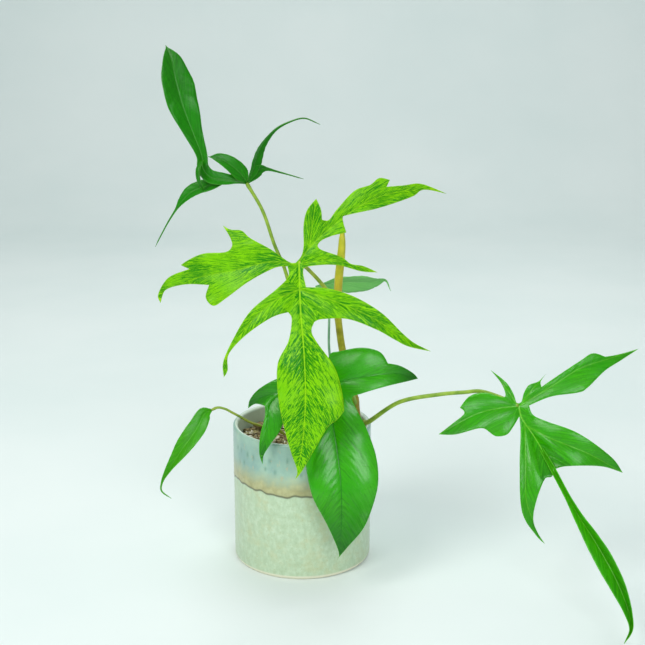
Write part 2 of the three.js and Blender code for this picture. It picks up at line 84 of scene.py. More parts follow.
# Blades lie in the leaf's own plane, in mm from the point where the stalk joins: +u right, +v up, and w
# is the height towards the side the leaf faces. An outline is a list of smooth runs that meet at lobe
# tips and notches. A rib is [u, v, w] along a vein. A strip is a lobe folded along its midrib:
# [u, v, w, half width, roll in degrees]. "at" and the stalk's path, "petiole", are places in the frame,
# "heading" and "lean" turn the plane, in degrees, and "stout" scales the stalk's thickness. "fold" and
# "stripFold" are how steeply a blade rises beside its ribs, "arch" bends it back down, and "ripple" is the
# height of the waves at its margin, in mm.
LEAVES = {
  "centre": {
    "at": [-2, -60, 300], "heading": 0, "lean": -13,
    "petiole": [[33, 8, 236], [23, -20, 264], [8, -42, 287]], "stout": 1.0,
    "outline": [
      [[-3, -1], [2, 5], [4, 14], [4, 31], [7, 44], [15, 54]],
      [[15, 54], [19, 45], [20, 36]],
      [[20, 36], [26, 36], [33, 45], [48, 61], [62, 66.5], [70, 72.5], [79.5, 71]],
      [[79.5, 71], [76.5, 65]],
      [[76.5, 65], [92, 66.5], [108, 68], [131, 60]],
      [[131, 60], [110, 63], [99, 56.5], [70, 46.5], [43, 40.5], [38, 37.5], [41, 25]],
      [[41, 25], [28, 22], [18, 17], [18, 11], [36.5, 4], [45, -2], [56, -4], [68.5, -9.5]],
      [[68.5, -9.5], [54, -8.5], [32, -3], [9, -4], [3.5, -8], [6, -22]],
      [[6, -22], [27, -23.5], [49, -31], [71, -44.5], [89, -62], [100, -71], [115.5, -79]],
      [[115.5, -79], [95, -74], [82, -67.5], [66, -58.5], [42, -49.5], [20, -49.5], [13, -52]],
      [[13, -52], [10.5, -59.5], [14.5, -68.5], [30, -90.5], [36.5, -112], [38.5, -129]],
      [[38.5, -129], [32, -137], [24, -143.5], [12, -164.5], [2, -183], [-4.5, -191.5]],
      [[-4.5, -191.5], [-2.5, -183], [-8, -165], [-15, -137], [-19, -111], [-18.5, -87], [-9.5, -68.5],
        [-6.5, -50], [-9.5, -43.5]],
      [[-9.5, -43.5], [-24, -48], [-46, -63], [-61, -79.5], [-62.5, -94], [-66, -100.5]],
      [[-66, -100.5], [-66, -86.5], [-57, -66.5], [-42, -42.5], [-20, -24], [-9.5, -13], [-10, -4]],
      [[-10, -4], [-21.5, -5.5], [-43.5, -17], [-63.5, -31.5], [-74.5, -38], [-81.5, -31], [-78.5, -20]],
      [[-78.5, -20], [-100, -19.5], [-118, -24.5], [-123, -36]],
      [[-123, -36], [-125, -28], [-115, -13.5], [-96, -6]],
      [[-96, -6], [-103.5, -2.5]],
      [[-103.5, -2.5], [-94.5, 3], [-82.5, 7.5], [-64, 8.5], [-58, 13.5], [-59.5, 21], [-66, 31.5]],
      [[-66, 31.5], [-59, 28], [-49.5, 27], [-42, 20.5], [-24, 10.5], [-9, 0], [-3, -1]],
    ],
    "ribs": [
      [[0, 0, 0], [1, -40, 5], [4, -80, 10], [5, -120, 9], [2, -160, 2], [-4, -191, -9]],
      [[0, -24, 3], [30, -34, 11], [62, -48, 13], [90, -66, 5], [115, -79, -8]],
      [[0, -24, 3], [-20, -33, 10], [-42, -52, 13], [-60, -80, 6], [-66, -100, -4]],
      [[-2, -2, 0], [-25, 0, 3], [-55, -7, -2], [-90, -14, -12], [-123, -30, -28]],
      [[0, 0, 0], [9, 12, 1], [26, 28, 0], [60, 52, -5], [95, 62, -14], [130, 60, -27]],
      [[4, -1, 0], [30, 1, 2], [67, -9, -7]],
      [[9, 12, 1], [12, 34, 3], [15, 53, 8]],
    ],
    "fold": 0.3, "arch": 0.007, "ripple": 1.6,
  },
  "front": {
    "at": [22, -50, 184.7], "heading": -1, "lean": -20,
    "petiole": [[49, 7, 148], [46, -6, 165], [38, -24, 178], [29, -38, 182]], "stout": 1.0,
    "outline": [
      [[-3, 3], [0, 12], [3, 27], [12, 30], [32, 33], [48, 29], [55, 19]],
      [[55, 19], [66, 17], [78, 11], [83, 6]],
      [[83, 6], [72, 3], [52, -2], [32, -8], [23, -12], [28, -24], [36, -40], [44, -63], [46, -85],
        [42, -105], [33, -127], [19, -144], [9, -156]],
      [[9, -156], [11, -149], [1, -125], [-12, -100], [-18, -74], [-20, -48], [-17, -28], [-20, -15]],
      [[-20, -15], [-32, -22], [-42, -42], [-49, -52], [-56, -63], [-57, -71]],
      [[-57, -71], [-60, -61], [-59, -45], [-55, -29], [-55, -19]],
      [[-55, -19], [-64, -17], [-71, -21]],
      [[-71, -21], [-69, -13], [-61, -4], [-45, 5], [-26, 10], [-10, 10], [-3, 3]],
    ],
    "ribs": [
      [[0, 0, 0], [3, -20, 2], [9, -55, 7], [13, -90, 7], [13, -130, 1], [9, -156, -5]],
      [[0, 0, 0], [14, 3, 3], [40, 8, 5], [64, 10, 0], [83, 6, -12]],
      [[0, 0, 0], [-20, -3, 2], [-43, -7, 0], [-60, -12, -6], [-71, -21, -13]],
      [[-40, -7, 0], [-50, -18, 1], [-52, -35, 2], [-57, -71, -2]],
    ],
    "fold": 0.28, "arch": 0.008, "ripple": 0.9,
  },
  "right": {
    "at": [192, -72, 171], "heading": -12, "lean": -22,
    "petiole": [[52, 8, 125], [54, -4, 132.5], [57, -15, 137], [60.5, -25, 140], [89, -38, 164],
      [124, -47, 174], [147, -50, 177], [160, -52, 178.5], [178, -58, 174.5]],
    "stout": 1.05,
    "outline": [
      [[-2, 2], [2, 4], [4, 12], [8, 19], [16, 23], [22, 30]],
      [[22, 30], [18, 23], [19, 18]],
      [[19, 18], [29, 26], [52, 44], [62, 51], [73, 49]],
      [[73, 49], [84, 52], [102, 59]],
      [[102, 59], [87, 47], [73, 36], [59, 20], [51, 15], [28, 10], [9, 1]],
      [[9, 1], [13, -7], [25, -12], [53, -21], [82, -39], [93, -52]],
      [[93, -52], [74, -48], [45, -50], [35, -53]],
      [[35, -53], [32, -60], [26, -63], [20, -82], [18, -98], [22, -109], [29, -119]],
      [[29, -119], [21, -112], [8, -92], [4, -53], [3, -25], [1, -9]],
      [[1, -9], [-4, -19], [-9, -26], [-18, -28], [-24, -25]],
      [[-24, -25], [-32, -22], [-53, -29], [-68, -30]],
      [[-68, -30], [-57, -20], [-47, -10], [-51, -5]],
      [[-51, -5], [-43, 6], [-30, 10], [-16, 7], [-12, 9], [-17, 20], [-27, 31]],
      [[-27, 31], [-13, 21], [-6, 12], [-2, 2]],
    ],
    "ribs": [
      [[0, 0, 0], [3, -10, -1], [15, -26, -1], [28, -46, 2], [34, -56, 5]],
      [[6, -14, -1], [9, -50, 7], [12, -85, 5], [29, -119, -12]],
      [[8, -17, -1], [30, -27, 6], [60, -37, 5], [93, -52, -14]],
      [[0, 0, 0], [29, 20, 2], [52, 37, -3], [75, 47, -10], [102, 59, -22]],
      [[0, 0, 0], [-16, -3, 4], [-35, -9, 6], [-68, -30, 14]],
      [[-3, 3, 0], [-11, 14, 2], [-27, 31, -4]],
      [[3, 4, 0], [10, 14, 2], [22, 30, -3]],
    ],
    "fold": 0.3, "arch": 0.009, "ripple": 0.9,
    "strips": [
      [[22, -37, 0, 1.8, 0], [33, -54, 4, 2.4, 0], [47, -77, 9, 2.6, 4], [58, -94, 14, 4.2, 8],
        [69, -109, 18, 6.4, 10], [81, -127, 24, 7.8, 10], [92.5, -147, 31, 6.8, 10], [101, -167, 38, 3.8, 10],
        [103.5, -181, 45, 1.6, 10], [98, -192, 51, 0.6, 10]],
    ],
    "stripFold": 1.15,
  },
  "upper": {
    "at": [-50.5, 40, 352.5], "heading": 2, "lean": -9,
    "petiole": [[51, 8, 124], [43, 10, 138], [28, 12, 150], [12, 16, 174], [-2, 22, 216], [-8, 26, 244],
      [-16, 30, 274], [-25, 34, 295], [-36, 38, 327]],
    "stout": 1.0,
    "strips": [
      [[0, 0, 0, 1.6, 30], [-9, 2.5, 1, 4, 26], [-22, 3.5, 2, 6, 22], [-34, 6, 2, 6.5, 16],
        [-40, 14, 2, 5.6, 12], [-41, 25, 2, 5.2, 12], [-48, 45, 4, 8.5, 12], [-57, 70, 7, 14, 16],
        [-63, 93, 8, 14.5, 18], [-67, 112, 6, 9, 20], [-72, 126, 2, 0.8, 20]],
      [[0, 0, 0, 1.6, 30], [-5, 8, 4, 7.6, 26], [-15, 17, 8, 7.4, 24], [-25, 22.5, 10, 5, 26],
        [-35, 24.5, 11, 0.8, 30]],
      [[-20, 2.5, 1, 3, 20], [-33, -1.5, -2, 6, 24], [-45, -5, -5, 6.6, 28], [-53, -9, -7, 6.2, 30],
        [-61, -17, -9, 3.6, 32], [-66, -24, -11, 1.4, 34], [-74, -36, -14, 0.9, 40],
        [-87, -59, -18, 0.6, 40]],
      [[0, 0, 0, 1.6, 50], [5, 10, -3, 5, 50], [9, 22, -6, 7, 52], [16, 37, -10, 4.5, 56],
        [28, 50, -14, 2.2, 60], [42, 57, -17, 1.1, 60], [55, 60, -20, 0.9, 60], [70, 54, -24, 0.6, 60]],
      [[0, 0, 0, 1.6, 30], [6, 7, -6, 4.6, 24], [12, 12.5, -10, 5.2, 24], [19, 13, -13, 2, 30],
        [34, 9, -18, 1, 60], [54, 3, -26, 0.6, 60]],
      [[-40, 21, 6, 2.6, 50], [-43.5, 12, 10, 3.4, 52], [-43, 2, 7, 3, 50], [-40, -6, -1, 2, 40]],
    ],
    "stripFold": 0.35,
  },
  "left": {
    "at": [-86, 12, 140], "heading": 5, "lean": -20,
    "petiole": [[-12, 8, 108], [-22, 8, 121], [-39, 8, 125.5], [-49, 8, 129], [-60, 9, 135], [-66, 10, 138],
      [-73, 11, 141.5], [-80, 12, 142.5]],
    "stout": 0.7,
    "strips": [
      [[0, 0, 0, 1.4, 0], [-6, -3, 1, 6.4, 6], [-13, -15, 3, 8.6, 10], [-20, -25, 4, 8.8, 14],
        [-27, -34, 4, 8, 18], [-34, -44, 3, 5.8, 22], [-42, -55, 2, 3.2, 25], [-48, -66, -1, 1.2, 25],
        [-49, -74, -2, 0.8, 25], [-40, -82, -3, 0.6, 25]],
    ],
    "stripFold": 0.35,
  },
  "back": {
    "at": [28, 90, 240], "heading": -3, "lean": -14,
    "petiole": [[52, 8, 126], [49.5, 16, 133], [42, 29, 145], [32, 44, 160], [27, 60, 183], [27, 76, 206],
      [28, 87, 226]],
    "stout": 0.7,
    "strips": [
      [[-14, 1, 4, 1, 40], [-4, 3, 2, 5, 42], [6, 5, 0, 9, 44], [20, 6, -2, 11.5, 46], [34, 6, -4, 11, 48],
        [46, 7, -6, 6, 50], [55, 8, -8, 1.6, 50], [60, -3, -10, 0.7, 50]],
    ],
    "stripFold": 0.35,
  },
}

# ------------------------------------------------------------------ curves and meshes
def curve_through(points, per_span, power, reflected):
    """A dense row of points on the smooth curve through the given ones. `power` is how much their spacing
    counts, and `reflected` lets the ends run on the way they point."""
    p = np.asarray(points, float)
    before, after = (2 * p[0] - p[1], 2 * p[-1] - p[-2]) if reflected else (p[0], p[-1])
    q = np.vstack([before, p, after])
    t = np.linspace(0, 1, per_span, endpoint=False)[:, None]
    rows = []
    for i in range(len(p) - 1):
        a, b, c, d = q[i:i + 4]
        gap = [max(np.linalg.norm(y - x), 1e-4) ** power for x, y in ((a, b), (b, c), (c, d))]
        leave = ((b - a) / gap[0] - (c - a) / (gap[0] + gap[1]) + (c - b) / gap[1]) * gap[1]
        arrive = ((c - b) / gap[1] - (d - b) / (gap[1] + gap[2]) + (d - c) / gap[2]) * gap[1]
        rows.append((2 * t**3 - 3 * t**2 + 1) * b + (t**3 - 2 * t**2 + t) * leave
                    + (3 * t**2 - 2 * t**3) * c + (t**3 - t**2) * arrive)
    return np.vstack([*rows, p[-1:]])


def length_along(places):
    """How far along its row each point lies."""
    return np.r_[0, np.cumsum(np.linalg.norm(np.diff(places, axis=0), axis=1))]


def spaced(points, step):
    """The same line with its points an even step apart; columns after the place follow along."""
    run = length_along(points[:, :3])
    at = np.linspace(0, run[-1], max(2, round(run[-1] / step)) + 1)
    return np.column_stack([np.interp(at, run, column) for column in points.T])


def around(sides):
    """Even angles round a ring, in radians."""
    return np.arange(sides) * 2 * math.pi / sides


def unit(vectors):
    """The same directions, each of length 1."""
    return vectors / np.maximum(np.linalg.norm(vectors, axis=-1, keepdims=True), 1e-9)


def bell(distance, width):
    """1 at no distance, falling smoothly to about a third at the width."""
    return np.exp(-(distance / width) ** 2)


def ease(value, low, high):
    """0 up to the low value, 1 from the high one on, and smooth between them."""
    t = np.clip((value - low) / (high - low), 0, 1)
    return t * t * (3 - 2 * t)


def waves(points, wavelength, seed):
    """Smooth irregular waves, mostly between -1 and 1, the same on every run."""
    draw = random.Random(seed)
    total = 0
    for _ in range(5):
        way = np.array([draw.gauss(0, 1) for _ in range(points.shape[1])])
        way *= 2 * math.pi / (wavelength * draw.uniform(0.7, 1.5) * np.linalg.norm(way))
        total = total + np.sin(points @ way + draw.uniform(0, 6.3))
    return total / 3


def build(name, node_names, vertices, faces, materials, smooth=True, picks=None, layers=()):
    """A mesh piece in mm, turned to metres and tied to the frame. Layers are (name, domain, rows)."""
    mesh = bpy.data.meshes.new(name)
    mesh.from_pydata((np.asarray(vertices) * MM).tolist(), [], [list(map(int, f)) for f in faces])
    for surface in materials:
        mesh.materials.append(surface)
    if picks is not None:
        mesh.polygons.foreach_set("material_index", np.asarray(picks, np.int32))
    for label, domain, rows in layers:
        layer = mesh.attributes.new(label, "FLOAT_VECTOR", domain)
        layer.data.foreach_set("vector", np.asarray(rows, np.float32).ravel())
    mesh.polygons.foreach_set("use_smooth", [smooth] * len(mesh.polygons))
    mesh.update()
    if mesh.validate():
        raise RuntimeError(f"{name} has broken faces")
    piece = bpy.data.objects.new(name, mesh)
    bpy.context.scene.collection.objects.link(piece)
    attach(piece, "root")
    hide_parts(*node_names)
    return piece


def grid_faces(rows, columns, closed_columns=False, start=0):
    """Quads between the points of a grid stored row by row."""
    wide = columns if closed_columns else columns - 1
    i, j = (axis.ravel() for axis in np.meshgrid(np.arange(rows - 1), np.arange(wide), indexing="ij"))
    k = (j + 1) % columns
    return np.column_stack([i * columns + j, i * columns + k, (i + 1) * columns + k,
                            (i + 1) * columns + j]) + start


# ------------------------------------------------------------------ colours and nodes
def colour(code):
    """An sRGB hex colour as linear red, green, blue and alpha."""
    parts = [int(code[i:i + 2], 16) / 255 for i in (1, 3, 5)]
    return (*[c / 12.92 if c <= 0.04045 else ((c + 0.055) / 1.055) ** 2.4 for c in parts], 1)


def add(tree, kind, inputs=None, stops=None, out=0, **settings):
    """One node: its settings, the stops of its ramp, and its inputs as values or as sockets to link.
    Gives back one of its outputs."""
    made = tree.nodes.new("ShaderNode" + kind)
    for name, value in settings.items():
        setattr(made, name, value)
    if stops:
        while len(made.color_ramp.elements) < len(stops):
            made.color_ramp.elements.new(1)
        for element, (place, shade) in zip(made.color_ramp.elements, stops):
            element.position, element.color = place, shade
    for key, value in (inputs or {}).items():
        if isinstance(value, bpy.types.NodeSocket):
            tree.links.new(value, made.inputs[key])
        else:
            made.inputs[key].default_value = value
    return made.outputs[out]


def material(name, **constants):
    """An empty surface: its node tree and its shader, with what is the same all over set on the shader."""
    made = bpy.data.materials.new(name)
    made.use_nodes = True
    shader = made.node_tree.nodes["Principled BSDF"]
    for key, value in constants.items():
        shader.inputs[key.replace("_", " ").title().replace("Ior", "IOR")].default_value = value
    return made, made.node_tree, shader


def dress(tree, shader, base, rough, height, depth_mm, strength):
    """Links the finished colour, roughness and fine relief to the shader."""
    tree.links.new(base, shader.inputs["Base Color"])
    tree.links.new(rough, shader.inputs["Roughness"])
    relief = add(tree, "Bump", {"Strength": strength, "Distance": depth_mm * MM, "Height": height})
    tree.links.new(relief, shader.inputs["Normal"])


BLACK, WHITE = (0, 0, 0, 1), (1, 1, 1, 1)


# ------------------------------------------------------------------ materials
def leaf_cuticle(name, look):
    """Living leaf blade: a waxy skin over green tissue, glossy in broad soft patches, with pale veins.
    The upper side carries the colour pattern, which runs along the side veins of each lobe, and the
    underside is paler and duller. `look` gives the colours and how strongly the streaks show."""
    made, tree, shader = material(name, ior=1.45, specular_ior_level=look["wax"])
    lie = add(tree, "Attribute", attribute_name="veins", out=1)
    run, off, lobe = add(tree, "SeparateXYZ", {0: lie}).node.outputs
    place = add(tree, "Attribute", attribute_name="blade", out=1)
    tipward, margin, top = add(tree, "SeparateXYZ", {0: place}).node.outputs
    away = add(tree, "Math", {0: off}, operation="ABSOLUTE")
    body = add(tree, "TexCoord", out=3)

    # Streaks lie along the side veins, narrow across them and long beside them. On the side lobes the
    # veins sweep on towards the tip, so there they lie nearly along the lobe.
    slant = add(tree, "MapRange", {"Value": lobe, "From Max": SIDE_LOBE, "To Min": 0.35, "To Max": 2.0})
    sweep = add(tree, "Math", {0: away, 1: slant}, operation="MULTIPLY")
    across = add(tree, "Math", {0: run, 1: sweep}, operation="SUBTRACT")
    outward = add(tree, "Math", {0: run, 1: 0.5, 2: away}, operation="MULTIPLY_ADD")
    beside = add(tree, "CombineXYZ", {0: across, 1: outward, 2: lobe})
    streak_scale = (1 / look["streak_width"], 1 / look["streak_length"], 1)
    streak_at = add(tree, "VectorMath", {0: beside, 1: streak_scale}, operation="MULTIPLY")
    fleck = add(tree, "TexNoise", {"Vector": streak_at, "Scale": 1.0, "Detail": 4.0, "Roughness": 0.62,
                                   "Distortion": look["marbling"]})
    patch = add(tree, "TexNoise", {"Vector": body, "Scale": 1 / (26 * MM), "Detail": 2.0})
    spread = add(tree, "Math", {0: patch, 1: 0.30, 2: fleck}, operation="MULTIPLY_ADD")
    # Streaks crowd towards the midrib, and thin out to 24 mm beside it.
    crowd = add(tree, "MapRange", {"Value": away, "From Max": 24.0, "To Min": 0.03, "To Max": -0.02})
    spread = add(tree, "Math", {0: spread, 1: crowd}, operation="ADD")
    first, soft_edge = look["streak_from"], 0.025
    streak = add(tree, "ValToRGB", {0: spread}, [(first, BLACK), (first + soft_edge, WHITE)])
    tissue = add(tree, "Mix", {0: patch, 6: look["tissue"], 7: look["tissue_light"]},
                 data_type="RGBA", out=2)
    dark = add(tree, "Math", {0: streak, 1: look["streaks"]}, operation="MULTIPLY")
    # Lobes deepen in colour towards their tips.
    deepen = add(tree, "MapRange", {"Value": tipward, "From Min": 0.58, "From Max": 0.95,
                                    "To Max": look["tip"]})
    tissue = add(tree, "Mix", {0: deepen, 6: tissue, 7: look["dark"]}, data_type="RGBA", out=2)
    upper = add(tree, "Mix", {0: dark, 6: tissue, 7: look["dark"]}, data_type="RGBA", out=2)
    fine = add(tree, "TexNoise", {"Vector": streak_at, "Scale": 2.7, "Detail": 3.0})
    glint = add(tree, "ValToRGB", {0: fine}, [(0.5, BLACK), (0.72, WHITE)])
    glint = add(tree, "Math", {0: glint, 1: look["glints"]}, operation="MULTIPLY")
    upper = add(tree, "Mix", {0: glint, 6: upper, 7: look["vein"]}, data_type="RGBA", out=2)

    # Side veins along the midrib, up to 1 mm wide and a little paler than the tissue.
    to_vein = add(tree, "Math", {0: across, 1: VEIN_GAP / 2}, operation="PINGPONG")
    hair = add(tree, "MapRange", {"Value": to_vein, "From Max": 0.5, "To Min": 1.0, "To Max": 0.0})
    drawn = add(tree, "Math", {0: hair, 1: look["side_veins"]}, operation="MULTIPLY")
    upper = add(tree, "Mix", {0: drawn, 6: upper, 7: look["vein"]}, data_type="RGBA", out=2)
    # The midrib fades out 1.25 mm to each side where it leaves the stalk, and 0.45 mm at a lobe's tip.
    width = add(tree, "MapRange", {"Value": tipward, "To Min": 1.25, "To Max": 0.45})
    share = add(tree, "Math", {0: away, 1: width}, operation="DIVIDE")
    midrib = add(tree, "MapRange", {"Value": share, "From Min": 0.35, "From Max": 1.0, "To Min": 1.0,
                                    "To Max": 0.0})
    # It is plainest on lobe 0 and less than half as plain on the others.
    plain = add(tree, "MapRange", {"Value": lobe, "From Max": SIDE_LOBE, "To Min": look["rib"],
                                   "To Max": 0.4 * look["rib"]})
    drawn = add(tree, "Math", {0: midrib, 1: plain}, operation="MULTIPLY")
    upper = add(tree, "Mix", {0: drawn, 6: upper, 7: look["midrib"]}, data_type="RGBA", out=2)
    # A pale, thin margin.
    edge = add(tree, "MapRange", {"Value": margin, "From Max": 0.7, "To Min": 0.45, "To Max": 0.0})
    upper = add(tree, "Mix", {0: edge, 6: upper, 7: look["vein"]}, data_type="RGBA", out=2)

    under = add(tree, "Mix", {0: drawn, 6: look["under"], 7: look["midrib"]}, data_type="RGBA", out=2)
    finished = add(tree, "Mix", {0: top, 6: under, 7: upper}, data_type="RGBA", out=2)
    # The bloom on the wax varies over a centimetre or two, and the underside is duller.
    bloom = add(tree, "TexNoise", {"Vector": body, "Scale": 1 / (14 * MM), "Detail": 3.0})
    gloss = add(tree, "MapRange", {"Value": bloom, "From Min": 0.3, "From Max": 0.7, "To Min": look["gloss"],
                                   "To Max": look["gloss"] + 0.13})
    rough = add(tree, "MapRange", {"Value": top, "To Min": 0.55, "To Max": gloss})
    # Cells of the skin about 0.8 mm across, drawn coarser than life so that they show, and sunk veins.
    cells = add(tree, "TexVoronoi", {"Vector": body, "Scale": 1 / (0.8 * MM)}, feature="SMOOTH_F1")
    skin = add(tree, "Math", {0: cells, 1: 0.35, 2: fleck}, operation="MULTIPLY_ADD")
    relief = add(tree, "Math", {0: hair, 1: -4.0 * look["side_veins"], 2: skin}, operation="MULTIPLY_ADD")
    dress(tree, shader, finished, rough, relief, 0.09, 0.55)
    return made


def green_bark(name, pale, deep, stain, stain_low, stain_high, flecks):
    """Skin of a stem or leaf stalk: satin, faintly ribbed along its length, with short pale flecks, and
    stained in clouds towards its older end, most below one height and not at all above the other, in mm."""
    made, tree, shader = material(name, roughness=0.42, ior=1.45)
    lie = add(tree, "Attribute", attribute_name="shoot", out=1)
    body = add(tree, "TexCoord", out=3)
    height = add(tree, "SeparateXYZ", {0: body}, out=2)
    # Flecks 0.5 mm wide and 4 mm long.
    grain_at = add(tree, "VectorMath", {0: lie, 1: (1 / 4, 1 / 0.5, 1)}, operation="MULTIPLY")
    grain = add(tree, "TexNoise", {"Vector": grain_at, "Scale": 1.0, "Detail": 3.0})
    cloud = add(tree, "TexNoise", {"Vector": body, "Scale": 1 / (9 * MM), "Detail": 2.0})
    skin = add(tree, "ValToRGB", {0: cloud}, [(0.32, colour(deep)), (0.68, colour(pale))])
    old = add(tree, "MapRange", {"Value": height, "From Min": stain_high * MM, "From Max": stain_low * MM,
                                 "To Min": 0.0, "To Max": 1.6})
    patchy = add(tree, "Math", {0: old, 1: cloud}, operation="MULTIPLY", use_clamp=True)
    aged = add(tree, "Mix", {0: patchy, 6: skin, 7: colour(stain)}, data_type="RGBA", out=2)
    spots = add(tree, "MapRange", {"Value": grain, "From Min": 0.56, "From Max": 0.74, "To Max": flecks})
    done = add(tree, "Mix", {0: spots, 6: aged, 7: colour(pale)}, data_type="RGBA", out=2)
    rough = add(tree, "MapRange", {"Value": grain, "To Min": 0.34, "To Max": 0.55})
    dress(tree, shader, done, rough, grain, 0.12, 0.6)
    return made


def celadon_stoneware():
    """Wheel-thrown stoneware under two glazes: milky blue-green celadon above, pooled darker in the
    dimples and breaking to ochre where it thins, a dark line where the glazes meet, and a pale mottled
    ash glaze below. A soft, slightly uneven gloss."""
    made, tree, shader = material("celadon_stoneware", ior=1.5, coat_weight=0.25, coat_roughness=0.12)
    lie = add(tree, "Attribute", attribute_name="glaze", out=1)
    above, pit, within = add(tree, "SeparateXYZ", {0: lie}).node.outputs
    body = add(tree, "TexCoord", out=3)
    cloud = add(tree, "TexNoise", {"Vector": body, "Scale": 1 / (24 * MM), "Detail": 4.0, "Roughness": 0.55})
    # Running of the glaze draws its mottling out downwards: 4 mm across and 6 mm tall.
    drawn_at = add(tree, "VectorMath", {0: body, 1: (1 / (4 * MM), 1 / (4 * MM), 1 / (6 * MM))},
                   operation="MULTIPLY")
    mottle = add(tree, "TexNoise", {"Vector": drawn_at, "Scale": 1.0, "Detail": 5.0, "Roughness": 0.65})
    speck = add(tree, "TexVoronoi", {"Vector": body, "Scale": 1 / (2.6 * MM), "Randomness": 1.0})
    upper = add(tree, "ValToRGB", {0: cloud}, [(0.30, colour("#84AAA2")), (0.52, colour("#94B8A8")),
                                              (0.74, colour("#AACAB4"))])
    pooled = add(tree, "Math", {0: pit, 1: 0.75}, operation="MULTIPLY", use_clamp=True)
    upper = add(tree, "Mix", {0: pooled, 6: upper, 7: colour("#5C8874")}, data_type="RGBA", out=2)
    # Ochre flecks where the upper glaze breaks thin.
    thin = add(tree, "ValToRGB", {0: mottle}, [(0.60, BLACK), (0.72, (0.55, 0.55, 0.55, 1))])
    upper = add(tree, "Mix", {0: thin, 6: upper, 7: colour("#C6B489")}, data_type="RGBA", out=2)
    # The ochre band starts to fade 4 to 8 mm above the join and is gone some 15 mm higher, unevenly.
    soft = add(tree, "TexNoise", {"Vector": body, "Scale": 1 / (7 * MM), "Detail": 4.0, "Roughness": 0.6})
    uneven = add(tree, "Math", {0: soft, 1: -12.0, 2: above}, operation="MULTIPLY_ADD")
    band = add(tree, "MapRange", {"Value": uneven, "From Min": 0.0, "From Max": 15.0, "To Min": 0.9,
                                  "To Max": 0.0})
    ochre = add(tree, "ValToRGB", {0: soft}, [(0.35, colour("#A09A64")), (0.65, colour("#B8B682"))])
    upper = add(tree, "Mix", {0: band, 6: upper, 7: ochre}, data_type="RGBA", out=2)
    lower = add(tree, "ValToRGB", {0: mottle}, [(0.34, colour("#AEC4A2")), (0.5, colour("#B6CCAC")),
                                               (0.66, colour("#C2D6BA"))])
    # The ash glaze turns olive in patches and carries dull spots.
    patchy = add(tree, "Math", {0: cloud, 1: soft}, operation="MULTIPLY")
    olive = add(tree, "ValToRGB", {0: patchy}, [(0.24, BLACK), (0.38, (0.5, 0.5, 0.5, 1))])
    lower = add(tree, "Mix", {0: olive, 6: lower, 7: colour("#BCC294")}, data_type="RGBA", out=2)
    spot = add(tree, "MapRange", {"Value": speck, "From Min": 0.10, "From Max": 0.30, "To Min": 0.3,
                                  "To Max": 0.0})
    lower = add(tree, "Mix", {0: spot, 6: lower, 7: colour("#A6AA6C")}, data_type="RGBA", out=2)
    split = add(tree, "MapRange", {"Value": above, "From Min": -0.4, "From Max": 0.4})
    glazed = add(tree, "Mix", {0: split, 6: lower, 7: upper}, data_type="RGBA", out=2)
    # The dark line where the glazes meet is 0.8 mm wide, and fades out 1.5 mm to each side of the join.
    away = add(tree, "Math", {0: above}, operation="ABSOLUTE")
    line = add(tree, "MapRange", {"Value": away, "From Min": 0.4, "From Max": 1.5, "To Min": 0.9,
                                  "To Max": 0.0})
    glazed = add(tree, "Mix", {0: line, 6: glazed, 7: colour("#5E6448")}, data_type="RGBA", out=2)
    # Inside, the wall carries the milky glaze alone.
    glazed = add(tree, "Mix", {0: within, 6: glazed, 7: colour("#CADACA")}, data_type="RGBA", out=2)
    # The foot is wiped bare: cream clay, which the glaze takes over from between 3.2 and 4.8 mm up.
    height = add(tree, "SeparateXYZ", {0: body}, out=2)
    bare = add(tree, "MapRange", {"Value": height, "From Min": 3.2 * MM, "From Max": 4.8 * MM, "To Min": 1.0,
                                  "To Max": 0.0})
    glazed = add(tree, "Mix", {0: bare, 6: glazed, 7: colour("#EAE6CE")}, data_type="RGBA", out=2)
    rough = add(tree, "MapRange", {"Value": mottle, "To Min": 0.24, "To Max": 0.5})
    rough = add(tree, "Mix", {0: bare, 2: rough, 3: 0.8}, data_type="FLOAT")
    dress(tree, shader, glazed, rough, mottle, 0.15, 0.35)
    return made


def crumb(name, shades, grain_mm, rough_low, rough_high, pits):
    """Dry, matt crumb of the mix: `shades` from its hollows to its high spots, with a grain of the
    given size and, for pumice, open pits."""
    made, tree, shader = material(name, ior=1.5)
    body = add(tree, "TexCoord", out=3)
    grain = add(tree, "TexNoise", {"Vector": body, "Scale": 1 / (grain_mm * MM), "Detail": 5.0,
                                   "Roughness": 0.7})
    tone = add(tree, "TexNoise", {"Vector": body, "Scale": 1 / (7 * MM), "Detail": 2.0})
    blend = add(tree, "Math", {0: tone, 1: 0.5, 2: grain}, operation="MULTIPLY_ADD")
    steps = [0.52 + 0.46 * i / (len(shades) - 1) for i in range(len(shades))]
    base = add(tree, "ValToRGB", {0: blend}, [(step, colour(code)) for step, code in zip(steps, shades)])
    rough = add(tree, "MapRange", {"Value": grain, "To Min": rough_low, "To Max": rough_high})
    hole = add(tree, "TexVoronoi", {"Vector": body, "Scale": 1 / (0.9 * MM)})
    relief = add(tree, "Math", {0: hole, 1: pits, 2: grain}, operation="MULTIPLY_ADD")
    dress(tree, shader, base, rough, relief, 0.5, 0.8)
    return made


